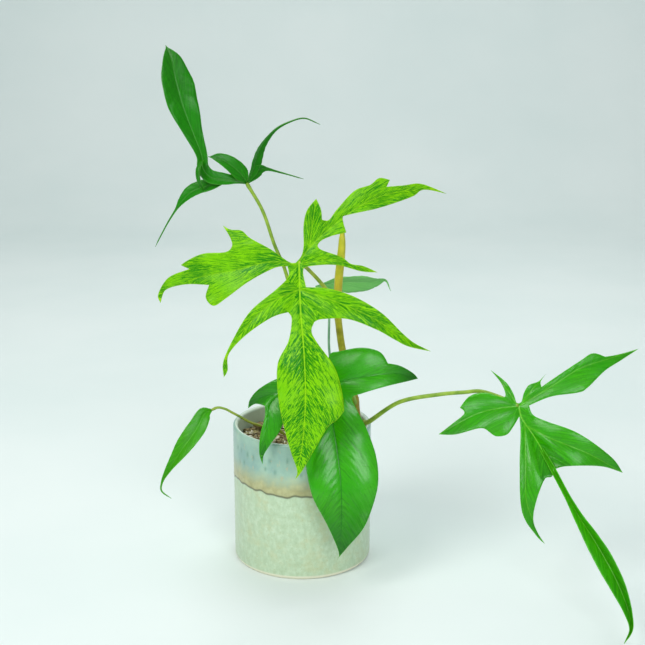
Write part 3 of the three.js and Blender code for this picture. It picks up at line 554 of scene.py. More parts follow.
def bark_chip_wood():
    """Composted pine bark: corky grey-brown plates, dull, with dark cracks and paler torn fibre."""
    made, tree, shader = material("pine_bark", ior=1.5)
    body = add(tree, "TexCoord", out=3)
    # Cork layers about 0.8 mm thick, seen on the broken edges.
    layers_at = add(tree, "VectorMath", {0: body, 1: (1 / (3 * MM), 1 / (3 * MM), 1 / (0.8 * MM))},
                    operation="MULTIPLY")
    layers = add(tree, "TexNoise", {"Vector": layers_at, "Scale": 1.0, "Detail": 5.0, "Roughness": 0.65})
    base = add(tree, "ValToRGB", {0: layers}, [(0.32, colour("#2A2212")), (0.46, colour("#625432")),
                                              (0.58, colour("#94845A")), (0.74, colour("#BCAE82"))])
    rough = add(tree, "MapRange", {"Value": layers, "To Min": 0.95, "To Max": 0.75})
    dress(tree, shader, base, rough, layers, 0.6, 0.9)
    return made


def backdrop_paper():
    """Seamless studio paper, pale and matt, with the faint cloudiness of a hand-painted roll."""
    made, tree, shader = material("backdrop_paper", ior=1.4, specular_ior_level=0.2)
    body = add(tree, "TexCoord", out=3)
    cloud = add(tree, "TexNoise", {"Vector": body, "Scale": 3.0, "Detail": 3.0})
    base = add(tree, "ValToRGB", {0: cloud}, [(0.35, colour("#DDE8E6")), (0.65, colour("#E3ECEA"))])
    rough = add(tree, "MapRange", {"Value": cloud, "To Min": 0.85, "To Max": 0.95})
    dress(tree, shader, base, rough, cloud, 0.05, 0.2)
    return made


# ------------------------------------------------------------------ blades
def into_frame(leaf, points):
    """Points in the leaf's plane, turned and set in their place above the pot, in mm."""
    turn = Matrix.Rotation(math.radians(leaf["heading"]), 3, "Z") @ Matrix.Rotation(
        math.radians(90 + leaf["lean"]), 3, "X")
    return points @ np.array(turn).T + np.array(leaf["at"], float)


class Ribs:
    """The veins of a blade: how high, how far along and how far aside every point lies."""

    def __init__(self, leaf):
        self.leaf = leaf
        self.lines = [spaced(curve_through(rib, 12, 0.5, True), 2.5) for rib in leaf["ribs"]]

    def nearest(self, points):
        """For each rib: distance aside with its sign, height of the rib, length along it, share of it."""
        found = []
        for line in self.lines:
            a, b = line[:-1], line[1:]
            step = (b - a)[:, :2]
            size = np.linalg.norm(step, axis=1)
            start = np.r_[0, np.cumsum(size)[:-1]]
            offset = points[:, None, :2] - a[None, :, :2]
            t = np.clip((offset * step).sum(2) / size**2, 0, 1)
            miss = offset - t[..., None] * step
            gap = np.linalg.norm(miss, axis=2)
            k = gap.argmin(1)
            row = np.arange(len(points))
            t, gap = t[row, k], gap[row, k]
            side = np.sign(step[k, 0] * offset[row, k, 1] - step[k, 1] * offset[row, k, 0])
            along = start[k] + t * size[k]
            aside = gap * np.where(side == 0, 1, side)
            lift = a[k, 2] + t * (b[k, 2] - a[k, 2])
            found.append(np.column_stack([aside, lift, along, along / (start[-1] + size[-1])]))
        return np.array(found)

    def choose(self, points):
        """The nearest rib's figures, which rib it is, how clearly it is the nearest, and all figures."""
        found = self.nearest(points)
        gaps = np.abs(found[:, :, 0])
        order = np.argsort(gaps, axis=0)
        row = np.arange(len(points))
        first = order[0]
        clear = gaps[order[1], row] - gaps[first, row] if len(found) > 1 else np.full(len(points), 99.0)
        return found[first, row], first, clear, found

    def height(self, points):
        """The blade's relief: gutters folded up from each rib, arching over and rippling to the margin,
        pillowed between the side veins, and grooved along the midribs."""
        best, which, clear, found = self.choose(points)
        gap, lift, along = np.abs(found[:, :, 0]), found[:, :, 1], found[:, :, 2]
        phase = 1.7 * np.arange(len(found))[:, None]
        ripple = self.leaf["ripple"] * np.sin(along * 0.16 + phase) * np.minimum(1, gap / 22) ** 2
        weight = 1 / (gap**2 + 6) ** 2
        relief = lift + self.leaf["fold"] * gap - self.leaf["arch"] * gap**2 + ripple
        base = (weight * relief).sum(0) / weight.sum(0)
        return base + pillow(best[:, 2], np.abs(best[:, 0]), clear, which) - 0.4 * bell(best[:, 0], 0.9)


def vein_run(along, aside, lobe):
    """Where on the midrib the side vein through a point sets off. They sweep forwards to the margin, and
    on the side lobes further forwards than on lobe 0."""
    return along - np.where(lobe == 0, 0.75, 1.5) * aside - np.where(lobe == 0, 0.022, 0.03) * aside**2


def pillow(along, aside, clear, lobe):
    """The blade swells a little between its side veins."""
    fade = ease(aside, 1.0, 7.0) * ease(clear, 0.0, 5.0)
    return 0.26 * fade * np.cos(2 * math.pi * (vein_run(along, aside, lobe) / VEIN_GAP + 0.5))


def inside(outline, points):
    """Which points lie inside the closed outline."""
    a, b = outline, np.roll(outline, -1, axis=0)
    x, y = points[:, 0, None], points[:, 1, None]
    crosses = (a[:, 1] > y) != (b[:, 1] > y)
    with np.errstate(divide="ignore", invalid="ignore"):
        at = a[:, 0] + (y - a[:, 1]) / (b[:, 1] - a[:, 1]) * (b[:, 0] - a[:, 0])
    return (crosses & (x < at)).sum(1) % 2 == 1


def distance_to(row, points):
    """Distance from each point to the nearest of a row of points."""
    out = np.empty(len(points))
    for i in range(0, len(points), 2000):
        some = points[i:i + 2000]
        out[i:i + 2000] = np.sqrt(((some[:, None] - row[None]) ** 2).sum(2)).min(1)
    return out


def flat_blade(leaf, ribs):
    """The blade's flat triangles: its margin, rows beside each midrib, and an even net between them."""
    runs = [spaced(curve_through(run, 24, 0, False), 1.3) for run in leaf["outline"]]
    outline = np.vstack([run[:-1] for run in runs])
    rows = []
    for line in ribs.lines:
        middle = spaced(line[:, :2], 1.6)
        along = unit(np.gradient(middle, axis=0))
        for shift in (0.0, -0.8, 0.8):
            rows.append(middle + shift * np.column_stack([-along[:, 1], along[:, 0]]))
    chosen = []
    for point in np.vstack(rows):
        if not chosen or np.min(np.linalg.norm(np.array(chosen) - point, axis=1)) > 0.62:
            chosen.append(point)
    chosen = np.array(chosen)
    low, high = outline.min(0), outline.max(0)
    # An even net of triangles: points 2.1 mm apart, in rows that lie closer together than that.
    pitch, row_share = 2.1, 0.866
    net = [(low[0] + (i + 0.5 * (j % 2)) * pitch, low[1] + j * pitch * row_share)
           for j in range(int((high[1] - low[1]) / pitch / row_share) + 1)
           for i in range(int((high[0] - low[0]) / pitch) + 1)]
    net = np.array(net)
    net = net[distance_to(chosen, net) > 1.25]
    points = np.vstack([chosen, net])
    points = points[inside(outline, points)]
    points = points[distance_to(outline, points) > 0.75]
    flat = [Vector(p) for p in np.vstack([outline, points])]
    corners, _, faces, *_ = geometry.delaunay_2d_cdt(flat, [], [list(range(len(outline)))], 1, 1e-5)
    return np.array([list(c) for c in corners]), np.array(faces), outline


def thicken(points, faces, keel, thickness):
    """Both sides and the rim of a sheet, as points and faces. `keel` is the extra swelling under each
    point."""
    a, b, c = (points[faces[:, i]] for i in range(3))
    facing = np.cross(b - a, c - a)
    normal = np.zeros_like(points)
    for i in range(3):
        np.add.at(normal, faces[:, i], facing)
    normal = unit(normal)
    upper = points + normal * (thickness / 2)[:, None]
    lower = points - normal * (thickness / 2 + keel)[:, None]
    pairs = np.vstack([faces[:, [0, 1]], faces[:, [1, 2]], faces[:, [2, 0]]])
    known = set(map(tuple, pairs.tolist()))
    rim = np.array([pair for pair in pairs.tolist() if (pair[1], pair[0]) not in known])
    n = len(points)
    quads = np.column_stack([rim[:, 1], rim[:, 0], rim[:, 0] + n, rim[:, 1] + n])
    below = faces[:, ::-1] + n
    return np.vstack([upper, lower]), [*faces.tolist(), *below.tolist(), *quads.tolist()]


def sheet_blade(leaf):
    """A spread blade: points in the leaf's plane, faces, vein rows by corner and place rows by point."""
    ribs = Ribs(leaf)
    flat, faces, outline = flat_blade(leaf, ribs)
    flipped = np.cross(flat[faces[:, 1]] - flat[faces[:, 0]], flat[faces[:, 2]] - flat[faces[:, 0]]) < 0
    faces[flipped] = faces[flipped][:, ::-1]
    best, _, _, _ = ribs.choose(flat)
    margin = distance_to(outline, flat)
    points = np.column_stack([flat, ribs.height(flat)])
    # Living blades are thinnest at the margin: 0.28 mm there, 0.55 mm from 4 mm inside it. The midrib
    # stands out below.
    thickness = 0.28 + 0.27 * ease(margin, 0.0, 4.0)
    keel = (0.9 - 0.6 * best[:, 3]) * bell(best[:, 0], 0.9) * ease(margin, 0.3, 3.0)
    solid, all_faces = thicken(points, faces, keel, thickness)

    doubled = np.vstack([flat, flat])
    middles = np.array([doubled[f].mean(0) for f in all_faces])
    _, which, _, _ = ribs.choose(middles)
    flat_corners = np.concatenate([np.asarray(f) for f in all_faces])
    owner = np.repeat(which, [len(f) for f in all_faces])
    found = ribs.nearest(doubled)[owner, flat_corners]
    veins = np.column_stack([vein_run(found[:, 2], np.abs(found[:, 0]), owner), found[:, 0],
                             RIB_STEP * owner])
    place = np.column_stack([np.r_[best[:, 3], best[:, 3]], np.r_[margin, margin],
                             np.r_[np.ones(len(flat)), np.zeros(len(flat))]])
    return solid, all_faces, veins, place


def strip_blade(strip, fold, seed):
    """A lobe seen on edge: a gutter folded along its midrib, with the same rows as a spread blade."""
    stations = np.array(strip, float)
    path = curve_through(stations[:, :3], 16, 0.5, True)
    shape = curve_through(stations[:, 3:], 16, 0, False)
    rows = spaced(np.column_stack([path, shape]), 1.8)
    centre, half, roll = rows[:, :3], np.maximum(rows[:, 3], 0.35), np.radians(rows[:, 4])
    run = length_along(centre)
    half = half * (0.2 + 0.8 * ease(run[-1] - run, -1.0, 7.0))
    along = unit(np.gradient(centre, axis=0))
    face = unit(np.array([0, 0, 1]) - along * along[:, 2:])
    face = face * np.cos(roll)[:, None] + np.cross(along, face) * np.sin(roll)[:, None]
    across = np.cross(along, face)
    side = np.array([-1, -0.8, -0.6, -0.4, -0.22, -0.1, 0, 0.1, 0.22, 0.4, 0.6, 0.8, 1.0])
    aside = half[:, None] * side
    gap = np.abs(aside)
    lift = gap * fold - 0.006 * gap**2 + 0.5 * np.sin(run[:, None] * 0.21 + seed) * (gap / 9) ** 2
    lift += pillow(run[:, None], gap, np.full_like(gap, 9), 1) * 0.8 - 0.3 * bell(aside, 0.7)
    points = centre[:, None] + across[:, None] * aside[..., None] + face[:, None] * lift[..., None]
    columns = len(side)
    quads = grid_faces(len(rows), columns)
    faces = np.vstack([quads[:, [0, 3, 2]], quads[:, [0, 2, 1]]])
    points = points.reshape(-1, 3)
    corner = np.cross(points[faces[0, 1]] - points[faces[0, 0]], points[faces[0, 2]] - points[faces[0, 0]])
    if corner @ face[0] < 0:
        faces = faces[:, ::-1]
    margin = (half[:, None] - gap).ravel()
    share = np.repeat(run / run[-1], columns)
    thickness = 0.26 + 0.24 * ease(margin, 0.0, 2.5)
    keel = (0.6 - 0.4 * share) * bell(aside.ravel(), 0.7) * ease(margin, 0.0, 1.0)
    solid, all_faces = thicken(points, faces, keel, thickness)
    corners = np.concatenate([np.asarray(f) for f in all_faces]) % len(points)
    flat_along, flat_aside = np.repeat(run, columns), aside.ravel()
    off = flat_aside[corners]
    veins = np.column_stack([vein_run(flat_along[corners], np.abs(off), 1), off,
                             np.full(len(corners), seed * STRIP_STEP)])
    one = np.ones(len(points))
    place = np.column_stack([np.r_[share, share], np.r_[margin, margin], np.r_[one, one * 0]])
    return solid, all_faces, veins, place


def blade(name, leaf, look):
    """A whole blade as one piece."""
    parts = []
    if "outline" in leaf:
        parts.append(sheet_blade(leaf))
    for i, strip in enumerate(leaf.get("strips", [])):
        parts.append(strip_blade(strip, leaf["stripFold"], 1.0 + i))
    vertices, faces, veins, place, count = [], [], [], [], 0
    for solid, some_faces, some_veins, some_place in parts:
        vertices.append(solid)
        faces += [[i + count for i in f] for f in some_faces]
        veins.append(some_veins)
        place.append(some_place)
        count += len(solid)
    return build(f"leaf_{name}", [f"blade_{name}"], into_frame(leaf, np.vstack(vertices)), faces,
                 [leaf_cuticle(f"leaf_skin_{name}", look)],
                 layers=[("veins", "CORNER", np.vstack(veins)), ("blade", "POINT", np.vstack(place))])


# ------------------------------------------------------------------ stems and stalks
def shoot(name, node, path, thickness, surface, detail, step=1.4, sides=24):
    """A tapering shoot along a smooth path. `thickness` is the radius in mm at even steps along it, and
    `detail(share, along, angle, left)` gives its swellings and grooves as a factor."""
    rows = spaced(curve_through(path, 24, 0.5, True), step)
    run = length_along(rows)
    share = run / run[-1]
    along = unit(np.gradient(rows, axis=0))
    # The section is carried along the path without twisting.
    start = np.cross(along[0], (0.3, 1, 0.1))
    first = [unit(start)]
    for i in range(1, len(rows)):
        first.append(unit(first[-1] - along[i] * (first[-1] @ along[i])))
    first = np.array(first)
    second = np.cross(along, first)
    angle = around(sides)
    radius = np.interp(share, np.linspace(0, 1, len(thickness)), thickness)[:, None]
    radius = radius * detail(share[:, None], run[:, None], angle[None, :], (run[-1] - run)[:, None])
    ring = first[:, None] * np.cos(angle)[None, :, None] + second[:, None] * np.sin(angle)[None, :, None]
    points = rows[:, None] + ring * radius[..., None]
    count = len(rows)
    faces = grid_faces(count, sides, closed_columns=True).tolist()
    faces += [list(range(sides))[::-1], [(count - 1) * sides + j for j in range(sides)]]
    lie = np.stack(np.broadcast_arrays(run[:, None], angle[None, :] * radius, 0 * radius), axis=-1)
    return build(name, [node], points.reshape(-1, 3), faces, [surface],
                 layers=[("shoot", "POINT", lie.reshape(-1, 3))])


def stem_detail(nodes):
    """Swollen joints with a raised ring scar where each leaf set off, and fine furrows between."""
    def detail(share, along, angle, left):
        swell = sum(0.16 * bell(along - at, 4.5) + 0.07 * bell(along - at - 2.6, 0.9) for at in nodes)
        furrow = 0.025 * np.sin(9 * angle + 0.05 * along) + 0.02 * np.sin(5 * angle - 0.09 * along + 1)
        groove = -0.10 * bell((angle - 4.2 + 0.01 * along) % (2 * math.pi) - math.pi, 0.35)
        return 1 + swell + furrow + groove
    return detail


def stalk_detail(sheath):
    """A clasping base, a shallow channel, and the slightly thicker joint that holds the blade."""
    def detail(share, along, angle, left):
        clasp = 0.45 * bell(along, sheath)
        joint = 0.22 * bell(left - 3.0, 4.0) - 0.25 * bell(left, 1.2)
        channel = -0.12 * bell((angle % (2 * math.pi)) - math.pi, 0.45) * ease(along, 0, 20)
        return 1 + clasp + joint + channel + 0.012 * np.sin(7 * angle + 0.1 * along)
    return detail


def spear_detail(share, along, angle, left):
    """The next leaf, rolled up in its sheath: one edge laps over the other in a long spiral."""
    turn = (angle - 0.05 * along) % (2 * math.pi)
    lap = 0.10 * ease(turn, 0.0, 0.5) * (1 - ease(turn, 0.5, 2 * math.pi - 0.2))
    return 1 + lap + 0.03 * np.sin(6 * angle + 0.08 * along)


# ------------------------------------------------------------------ pot
def seam_height(angle):
    """Where the two glazes meet: a wavy line round the pot, in mm above the table."""
    wave = 1.1 * np.sin(2 * angle + 0.6) + 0.7 * np.sin(5 * angle + 2) + 0.5 * np.sin(11 * angle)
    drips = 0.55 * np.sin(19 * angle + 2.0 * np.sin(3 * angle)) + 0.35 * np.sin(37 * angle + 1)
    return SEAM_LEVEL + wave + drips


def pot_piece(surface, dimple_count, dimple_depth):
    """The thrown pot as one closed shell: foot, wall with throwing rings, rounded rim and hollow."""
    r, h, inner = POT_RADIUS, POT_HEIGHT, POT_RADIUS - POT_WALL
    # From the middle of the underside, round the foot and up the wall.
    outside = [(0, 0.0), (r - 20, 0.0), (r - 4.0, 0.0), (r - 2.9, 0.25), (r - 1.8, 1.1), (r - 1.0, 2.2),
               (r - 0.35, 3.2)]
    outside += [(r - 0.15, z) for z in np.arange(4.6, h - 3.2, 1.4)]
    rim = [(r - POT_WALL / 2 + POT_WALL / 2 * math.cos(a) * (1 if math.cos(a) < 0 else 0.97),
            h - 2.4 + 2.4 * math.sin(a)) for a in np.linspace(0, math.pi, 13)]
    within = [(inner, z) for z in np.arange(h - 4.0, POT_FLOOR + 5, -2.4)]
    within += [(inner - 0.6, POT_FLOOR + 2.4), (inner - 2.2, POT_FLOOR + 0.8), (inner - 4.4, POT_FLOOR),
               (inner - 25, POT_FLOOR), (0, POT_FLOOR)]
    profile = np.array(outside + rim + within)
    sides = 300
    angle = around(sides)
    radius, height = (np.repeat(profile[1:-1, i:i + 1], sides, axis=1) for i in (0, 1))
    # The wall's rows and the first of the rim's face outwards.
    outer_rows = len(outside) + 5
    outer = (np.arange(len(radius)) < outer_rows)[:, None] & (radius > r - 6)
    above = height - seam_height(angle)[None, :]

    # Two staggered rows of dimples under the rim, with some of them left out.
    draw = random.Random(41)
    pit = np.zeros_like(radius)
    for row, level in enumerate((h - 16.5, h - 27.0)):
        for k in range(dimple_count):
            at = 2 * math.pi * (k + 0.5 * row + draw.uniform(-0.16, 0.16)) / dimple_count
            z = level + draw.uniform(-1.6, 1.6)
            if draw.random() < 0.18 + 0.22 * row:
                continue
            gap = ((angle - at + math.pi) % (2 * math.pi) - math.pi) * r
            pit += bell(gap[None, :], draw.uniform(0.9, 1.5)) * bell(height - z, draw.uniform(2.0, 3.0))
    pit = np.clip(pit, 0, 1) * outer
    # Throwing rings 5.2 mm apart, the roll of glaze at the join and the thicker glaze above it, then the
    # dimples.
    ring_gap, set_back = 5.2, 0.12
    change = (0.07 * np.sin(2 * math.pi * height / ring_gap + 0.7 * np.sin(angle)[None, :])
              + 0.05 * np.sin(3 * angle)[None, :])
    change = change + 0.32 * bell(above - 0.4, 0.9) + 0.16 * ease(above, -0.5, 1.5) - dimple_depth * pit
    change = change * ease(height, 3.0, 12.0) * outer
    radius = radius + np.where(outer, change - set_back, 0)
    points = np.stack([radius * np.cos(angle), radius * np.sin(angle), height], axis=-1).reshape(-1, 3)
    count = len(radius)
    faces = grid_faces(count, sides, closed_columns=True).tolist()
    bottom, top = count * sides, count * sides + 1
    faces += [[bottom, (j + 1) % sides, j] for j in range(sides)]
    last = (count - 1) * sides
    faces += [[top, last + j, last + (j + 1) % sides] for j in range(sides)]
    points = np.vstack([points, [[0, 0, 0], [0, 0, POT_FLOOR]]])
    within = np.repeat((np.arange(count) >= outer_rows)[:, None], sides, axis=1)
    rows = np.stack([above, pit, within], axis=-1).reshape(-1, 3)
    rows = np.vstack([rows, [[-SEAM_LEVEL, 0, 0], [POT_FLOOR - SEAM_LEVEL, 0, 1]]])
    return build("glazed_pot", ["pot"], points, faces, [surface],
                 layers=[("glaze", "POINT", rows)])


# ------------------------------------------------------------------ potting mix
def soil_height(x, y):
    """Height of the mix: low waves, and a heap round the foot of the stem."""
    ripple = 0.9 * np.sin(x * 0.19 + 1.3) * np.cos(y * 0.23) + 0.7 * np.sin(x * 0.07 - y * 0.31)
    heap = 3.2 * np.exp(-((x - MAIN_STEM[0][0]) ** 2 + (y - MAIN_STEM[0][1]) ** 2) / 500)
    return SOIL_TOP + ripple + heap


ICO = (1 + 5**0.5) / 2
# The corners and faces of a regular solid with 20 triangles.
LUMP = unit(np.array([(-1, ICO, 0), (1, ICO, 0), (-1, -ICO, 0), (1, -ICO, 0), (0, -1, ICO), (0, 1, ICO),
                      (0, -1, -ICO), (0, 1, -ICO), (ICO, 0, -1), (ICO, 0, 1), (-ICO, 0, -1), (-ICO, 0, 1)]))
LUMP_FACES = [(0, 11, 5), (0, 5, 1), (0, 1, 7), (0, 7, 10), (0, 10, 11), (1, 5, 9), (5, 11, 4), (11, 10, 2),
              (10, 7, 6), (7, 1, 8), (3, 9, 4), (3, 4, 2), (3, 2, 6), (3, 6, 8), (3, 8, 9), (4, 9, 5),
              (2, 4, 11), (6, 2, 10), (8, 6, 7), (9, 8, 1)]


def lump(times):
    """A sphere of triangles, split the given number of times."""
    points, faces = LUMP, [list(f) for f in LUMP_FACES]
    for _ in range(times):
        points, middle, split = list(points), {}, []
        for a, b, c in faces:
            mid = []
            for pair in ((a, b), (b, c), (c, a)):
                key = tuple(sorted(pair))
                if key not in middle:
                    middle[key] = len(points)
                    points.append(unit((points[key[0]] + points[key[1]]) / 2))
                mid.append(middle[key])
            split += [[a, mid[0], mid[2]], [b, mid[1], mid[0]], [c, mid[2], mid[1]], mid]
        points, faces = np.array(points), split
    return points, faces


def turned(points, draw):
    """Points tipped by a random tilt and turned any way round."""
    turn = Matrix.Rotation(draw.uniform(0, 6.3), 3, "Z") @ Matrix.Rotation(draw.gauss(0, 0.5), 3, "X")
    return points @ np.array(turn).T


def mix_piece(bits, surfaces):
    """The heap itself, rough with grit, and the crumbs of bark, grit, pumice and peat that lie on it. The
    near-black peat crowds round the stem as painted shade.
    """
    ring_count = 36
    rings = [i / ring_count for i in range(ring_count, 0, -1)]
    sides = 120
    angle = around(sides)
    bottom = POT_FLOOR + SOIL_CLEARANCE
    bevel = 4.2
    profile = [(SOIL_RADIUS - bevel, bottom), (SOIL_RADIUS, bottom + bevel), (SOIL_RADIUS, 60),
               (SOIL_RADIUS, 100)]
    wall = [np.column_stack([r * np.cos(angle), r * np.sin(angle), np.full(sides, z)]) for r, z in profile]
    top = []
    for share in rings:
        x, y = (SOIL_RADIUS - 0.1) * share * np.cos(angle), (SOIL_RADIUS - 0.1) * share * np.sin(angle)
        flat = np.column_stack([x, y])
        z = soil_height(x, y) - 0.9 + 0.8 * waves(flat, 5, 3) + 0.5 * waves(flat, 2.2, 4)
        top.append(np.column_stack([x, y, z]))
    middle = [[0, 0, float(soil_height(np.array(0.0), np.array(0.0)))], [0, 0, bottom]]
    points = [np.vstack([*wall, *top, middle])]
    count = (len(wall) + len(top)) * sides
    faces = grid_faces(len(wall) + len(top), sides, closed_columns=True).tolist()
    faces += [[count - sides + j, count - sides + (j + 1) % sides, count] for j in range(sides)]
    faces += [[(j + 1) % sides, j, count + 1] for j in range(sides)]
    picks = [0] * len(faces)
    total = count + 2
    # Crumbs keep this far from the wall and from the middle of the stem.
    wall_gap, stem_gap = 2.6, 4.5
    draw = random.Random(7)
    base, base_faces = lump(1)
    for _ in range(bits):
        r, a = (SOIL_RADIUS - wall_gap) * math.sqrt(draw.random()), draw.uniform(0, 2 * math.pi)
        x, y = r * math.cos(a), r * math.sin(a)
        if math.hypot(x - MAIN_STEM[0][0], y - MAIN_STEM[0][1]) < stem_gap:
            continue
        # Pale grit has gathered on the left, away from the stem. Round the stem the near-black peat crumbs
        # crowd in as painted shade, standing for the shadow under the leaves there.
        pale = min(1.0, max(0.0, (22 - x) / 48))
        kind = draw.choices(range(1, 5), (16, 30 + 14 * pale, 6 + 36 * pale, 44 - 38 * pale))[0]
        long = draw.uniform(1.0, 2.4) if kind != 1 else draw.uniform(1.6, 4.4)
        size = np.array([long, long * draw.uniform(0.45, 0.8), long * draw.uniform(0.3, 0.6)])
        rough = 1 + 0.16 * waves(base, 0.9, draw.randrange(10**6))[:, None]
        bit = turned(base * size * rough, draw)
        lift = float(soil_height(np.array(x), np.array(y))) - 0.3 + 0.25 * size[2]
        points.append(bit + [x, y, lift])
        faces += [[i + total for i in f] for f in base_faces]
        picks += [kind] * len(base_faces)
        total += len(base)
    return build("mix_heap", ["potting_mix"], np.vstack(points), faces, surfaces, smooth=False,
                 picks=picks)


CHIPS = [
    # name, half length, half width and half height in mm, turn in degrees
    ("bark_chip_1", 7.2, 4.4, 1.9, 20), ("bark_chip_2", 6.0, 3.6, 2.2, -10),
    ("bark_chip_3", 7.0, 4.2, 2.0, 60), ("bark_chip_4", 7.4, 4.4, 2.2, 15),
    ("bark_chip_5", 6.4, 4.0, 1.9, -60),
    ("pumice_1", 4.2, 3.4, 2.8, 70), ("pumice_2", 3.6, 3.1, 2.5, 10), ("pumice_3", 4.6, 3.8, 2.9, 75),
    ("pumice_4", 4.0, 3.3, 2.7, 25), ("pumice_5", 4.4, 3.6, 3.0, -40), ("pumice_6", 3.8, 3.2, 2.6, 5),
]


def chip_piece(index, name, half, turn, surface):
    """One loose piece: bark as a cracked plate with torn ends, pumice as a pitted pebble."""
    bark = name.startswith("bark")
    low, high = (np.array(corner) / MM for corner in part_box(name))
    sphere, faces = lump(4)
    if bark:
        flat = np.sign(sphere) * np.abs(sphere) ** np.array([0.7, 0.6, 0.45])
        plates = 0.09 * np.round(2.2 * waves(sphere, 1.1, 50 + index))
        points = flat * (1 + plates[:, None] * [0.5, 0.6, 1.4]) + 0.02 * waves(sphere, 0.25, index)[:, None]
        points = points * [0.92, 0.88, 0.86]
    else:
        draw, pits = random.Random(90 + index), 0
        for _ in range(34):
            centre = unit(np.array([draw.gauss(0, 1) for _ in range(3)]))
            pits = pits + 0.12 * bell(np.linalg.norm(sphere - centre, axis=1), draw.uniform(0.10, 0.22))
        points = sphere * (0.98 + 0.07 * waves(sphere, 1.2, 20 + index) - pits)[:, None]
    spin = np.array(Matrix.Rotation(math.radians(turn), 3, "Z"))
    placed = (points * half) @ spin.T
    place = (low + high) / 2
    placed += [place[0], place[1], low[2] - placed[:, 2].min()]
    return build(name.replace("chip", "plate").replace("pumice", "pebble"), [name],
                 placed, faces, [surface], smooth=not bark)


# ------------------------------------------------------------------ what a user may change
LEAF_LOOKS = {
    # The slot, then the colours of the tissue, its lighter clouds, its streaks and tips ("dark"), its fine
    # veins, its midrib and its underside. streaks, glints, side_veins and rib are how strongly each shows,
    # tip is how far lobes darken, wax and gloss are the skin's shine and roughness, widths and lengths are
    # in mm, and marbling bends the streaks.
    "centre": dict(slot="leaf_lime_mottled", tissue="#5CB600", tissue_light="#92D400", dark="#128000",
                   vein="#B4E012", midrib="#96D008", under="#7FB42E",
                   streaks=1.0, glints=0.2, side_veins=0.12, rib=0.85, tip=0.0, wax=0.16, gloss=0.30,
                   streak_width=2.8, streak_length=9.0, streak_from=0.66, marbling=2.2),
    "front": dict(slot="leaf_deep_green", tissue="#148C02", tissue_light="#48B80C", dark="#025002",
                  vein="#5CC424", midrib="#0A6A06", under="#5F9C3E",
                  streaks=0.4, glints=0.12, side_veins=0.1, rib=0.7, tip=0.9, wax=0.42, gloss=0.17,
                  streak_width=2.4, streak_length=18.0, streak_from=0.68, marbling=1.8),
    "right": dict(slot="leaf_mid_green", tissue="#168C00", tissue_light="#48B802", dark="#035400",
                  vein="#70D024", midrib="#88D634", under="#6CA83E",
                  streaks=0.42, glints=0.12, side_veins=0.14, rib=0.45, tip=0.45, wax=0.36, gloss=0.18,
                  streak_width=3.0, streak_length=22.0, streak_from=0.655, marbling=1.8),
    "upper": dict(slot="leaf_deep_green", tissue="#0A7000", tissue_light="#289204", dark="#034804",
                  vein="#54A428", midrib="#5C9A48", under="#4A8A2E",
                  streaks=0.5, glints=0.08, side_veins=0.08, rib=0.6, tip=0.3, wax=0.24, gloss=0.26,
                  streak_width=2.0, streak_length=16.0, streak_from=0.67, marbling=1.8),
    "left": dict(slot="leaf_mid_green", tissue="#1C8C00", tissue_light="#4EAE04", dark="#065A00",
                 vein="#6CC224", midrib="#54B018", under="#5FA030",
                 streaks=0.4, glints=0.12, side_veins=0.14, rib=0.65, tip=0.5, wax=0.24, gloss=0.25,
                 streak_width=2.2, streak_length=14.0, streak_from=0.655, marbling=1.8),
    "back": dict(slot="leaf_blue_green", tissue="#5CB050", tissue_light="#88CC70", dark="#349040",
                 vein="#A2D894", midrib="#9CD490", under="#6FA86A",
                 streaks=0.4, glints=0.12, side_veins=0.2, rib=0.8, tip=0.2, wax=0.35, gloss=0.34,
                 streak_width=2.0, streak_length=16.0, streak_from=0.68, marbling=1.8),
}


class PotSettings(bpy.types.PropertyGroup):
    """The thrown pot's own finish."""
    dimple_count: bpy.props.IntProperty(
        name="Dimples", description="Thumbnail dimples in each of the two rows under the rim", default=46,
        min=0, max=90)
    dimple_depth: bpy.props.FloatProperty(
        name="Dimple depth", description="How deep each dimple is pressed", default=0.35 * MM, unit="LENGTH",
        precision=5)


class LeafSettings(bpy.types.PropertyGroup):
    """Colours of the youngest leaf, which is the one that shows most."""
    lime: bpy.props.FloatVectorProperty(
        name="New leaf", description="Tissue of the lime-coloured youngest leaf", subtype="COLOR",
        default=colour(LEAF_LOOKS["centre"]["tissue"])[:3], min=0, max=1)
    streak: bpy.props.FloatVectorProperty(
        name="Streaks", description="Dark streaks along the side veins of the youngest leaf",
        subtype="COLOR", default=colour(LEAF_LOOKS["centre"]["dark"])[:3], min=0, max=1)
    streak_amount: bpy.props.FloatProperty(
        name="Streak strength", description="How strongly the streaks cover the youngest leaf",
        default=LEAF_LOOKS["centre"]["streaks"], subtype="FACTOR", min=0, max=1)


class StemSettings(bpy.types.PropertyGroup):
    """Thickness of the stem and of the leaf stalks."""
    stem_radius: bpy.props.FloatProperty(
        name="Stem radius", description="Radius of the main stem half way up", default=STEM_RADIUS * MM,
        unit="LENGTH", precision=4)
    stalk_radius: bpy.props.FloatProperty(
        name="Stalk radius", description="Radius of a full-sized leaf stalk half way along",
        default=PETIOLE_RADIUS * MM, unit="LENGTH", precision=4)


class MixSettings(bpy.types.PropertyGroup):
    """The loose surface of the potting mix."""
    crumbs: bpy.props.IntProperty(
        name="Crumbs", description="Loose crumbs of bark, grit, pumice and peat on the mix", default=1500,
        min=0, max=4000)


class StudioSettings(bpy.types.PropertyGroup):
    """Lamps and camera."""
    key_power: bpy.props.FloatProperty(
        name="Key lamp", description="Power of the large soft lamp in front on the left", default=19.0,
        unit="POWER")
    lens: bpy.props.FloatProperty(
        name="Lens", description="Focal length of the camera, in millimetres", default=50.0,
        subtype="DISTANCE_CAMERA")


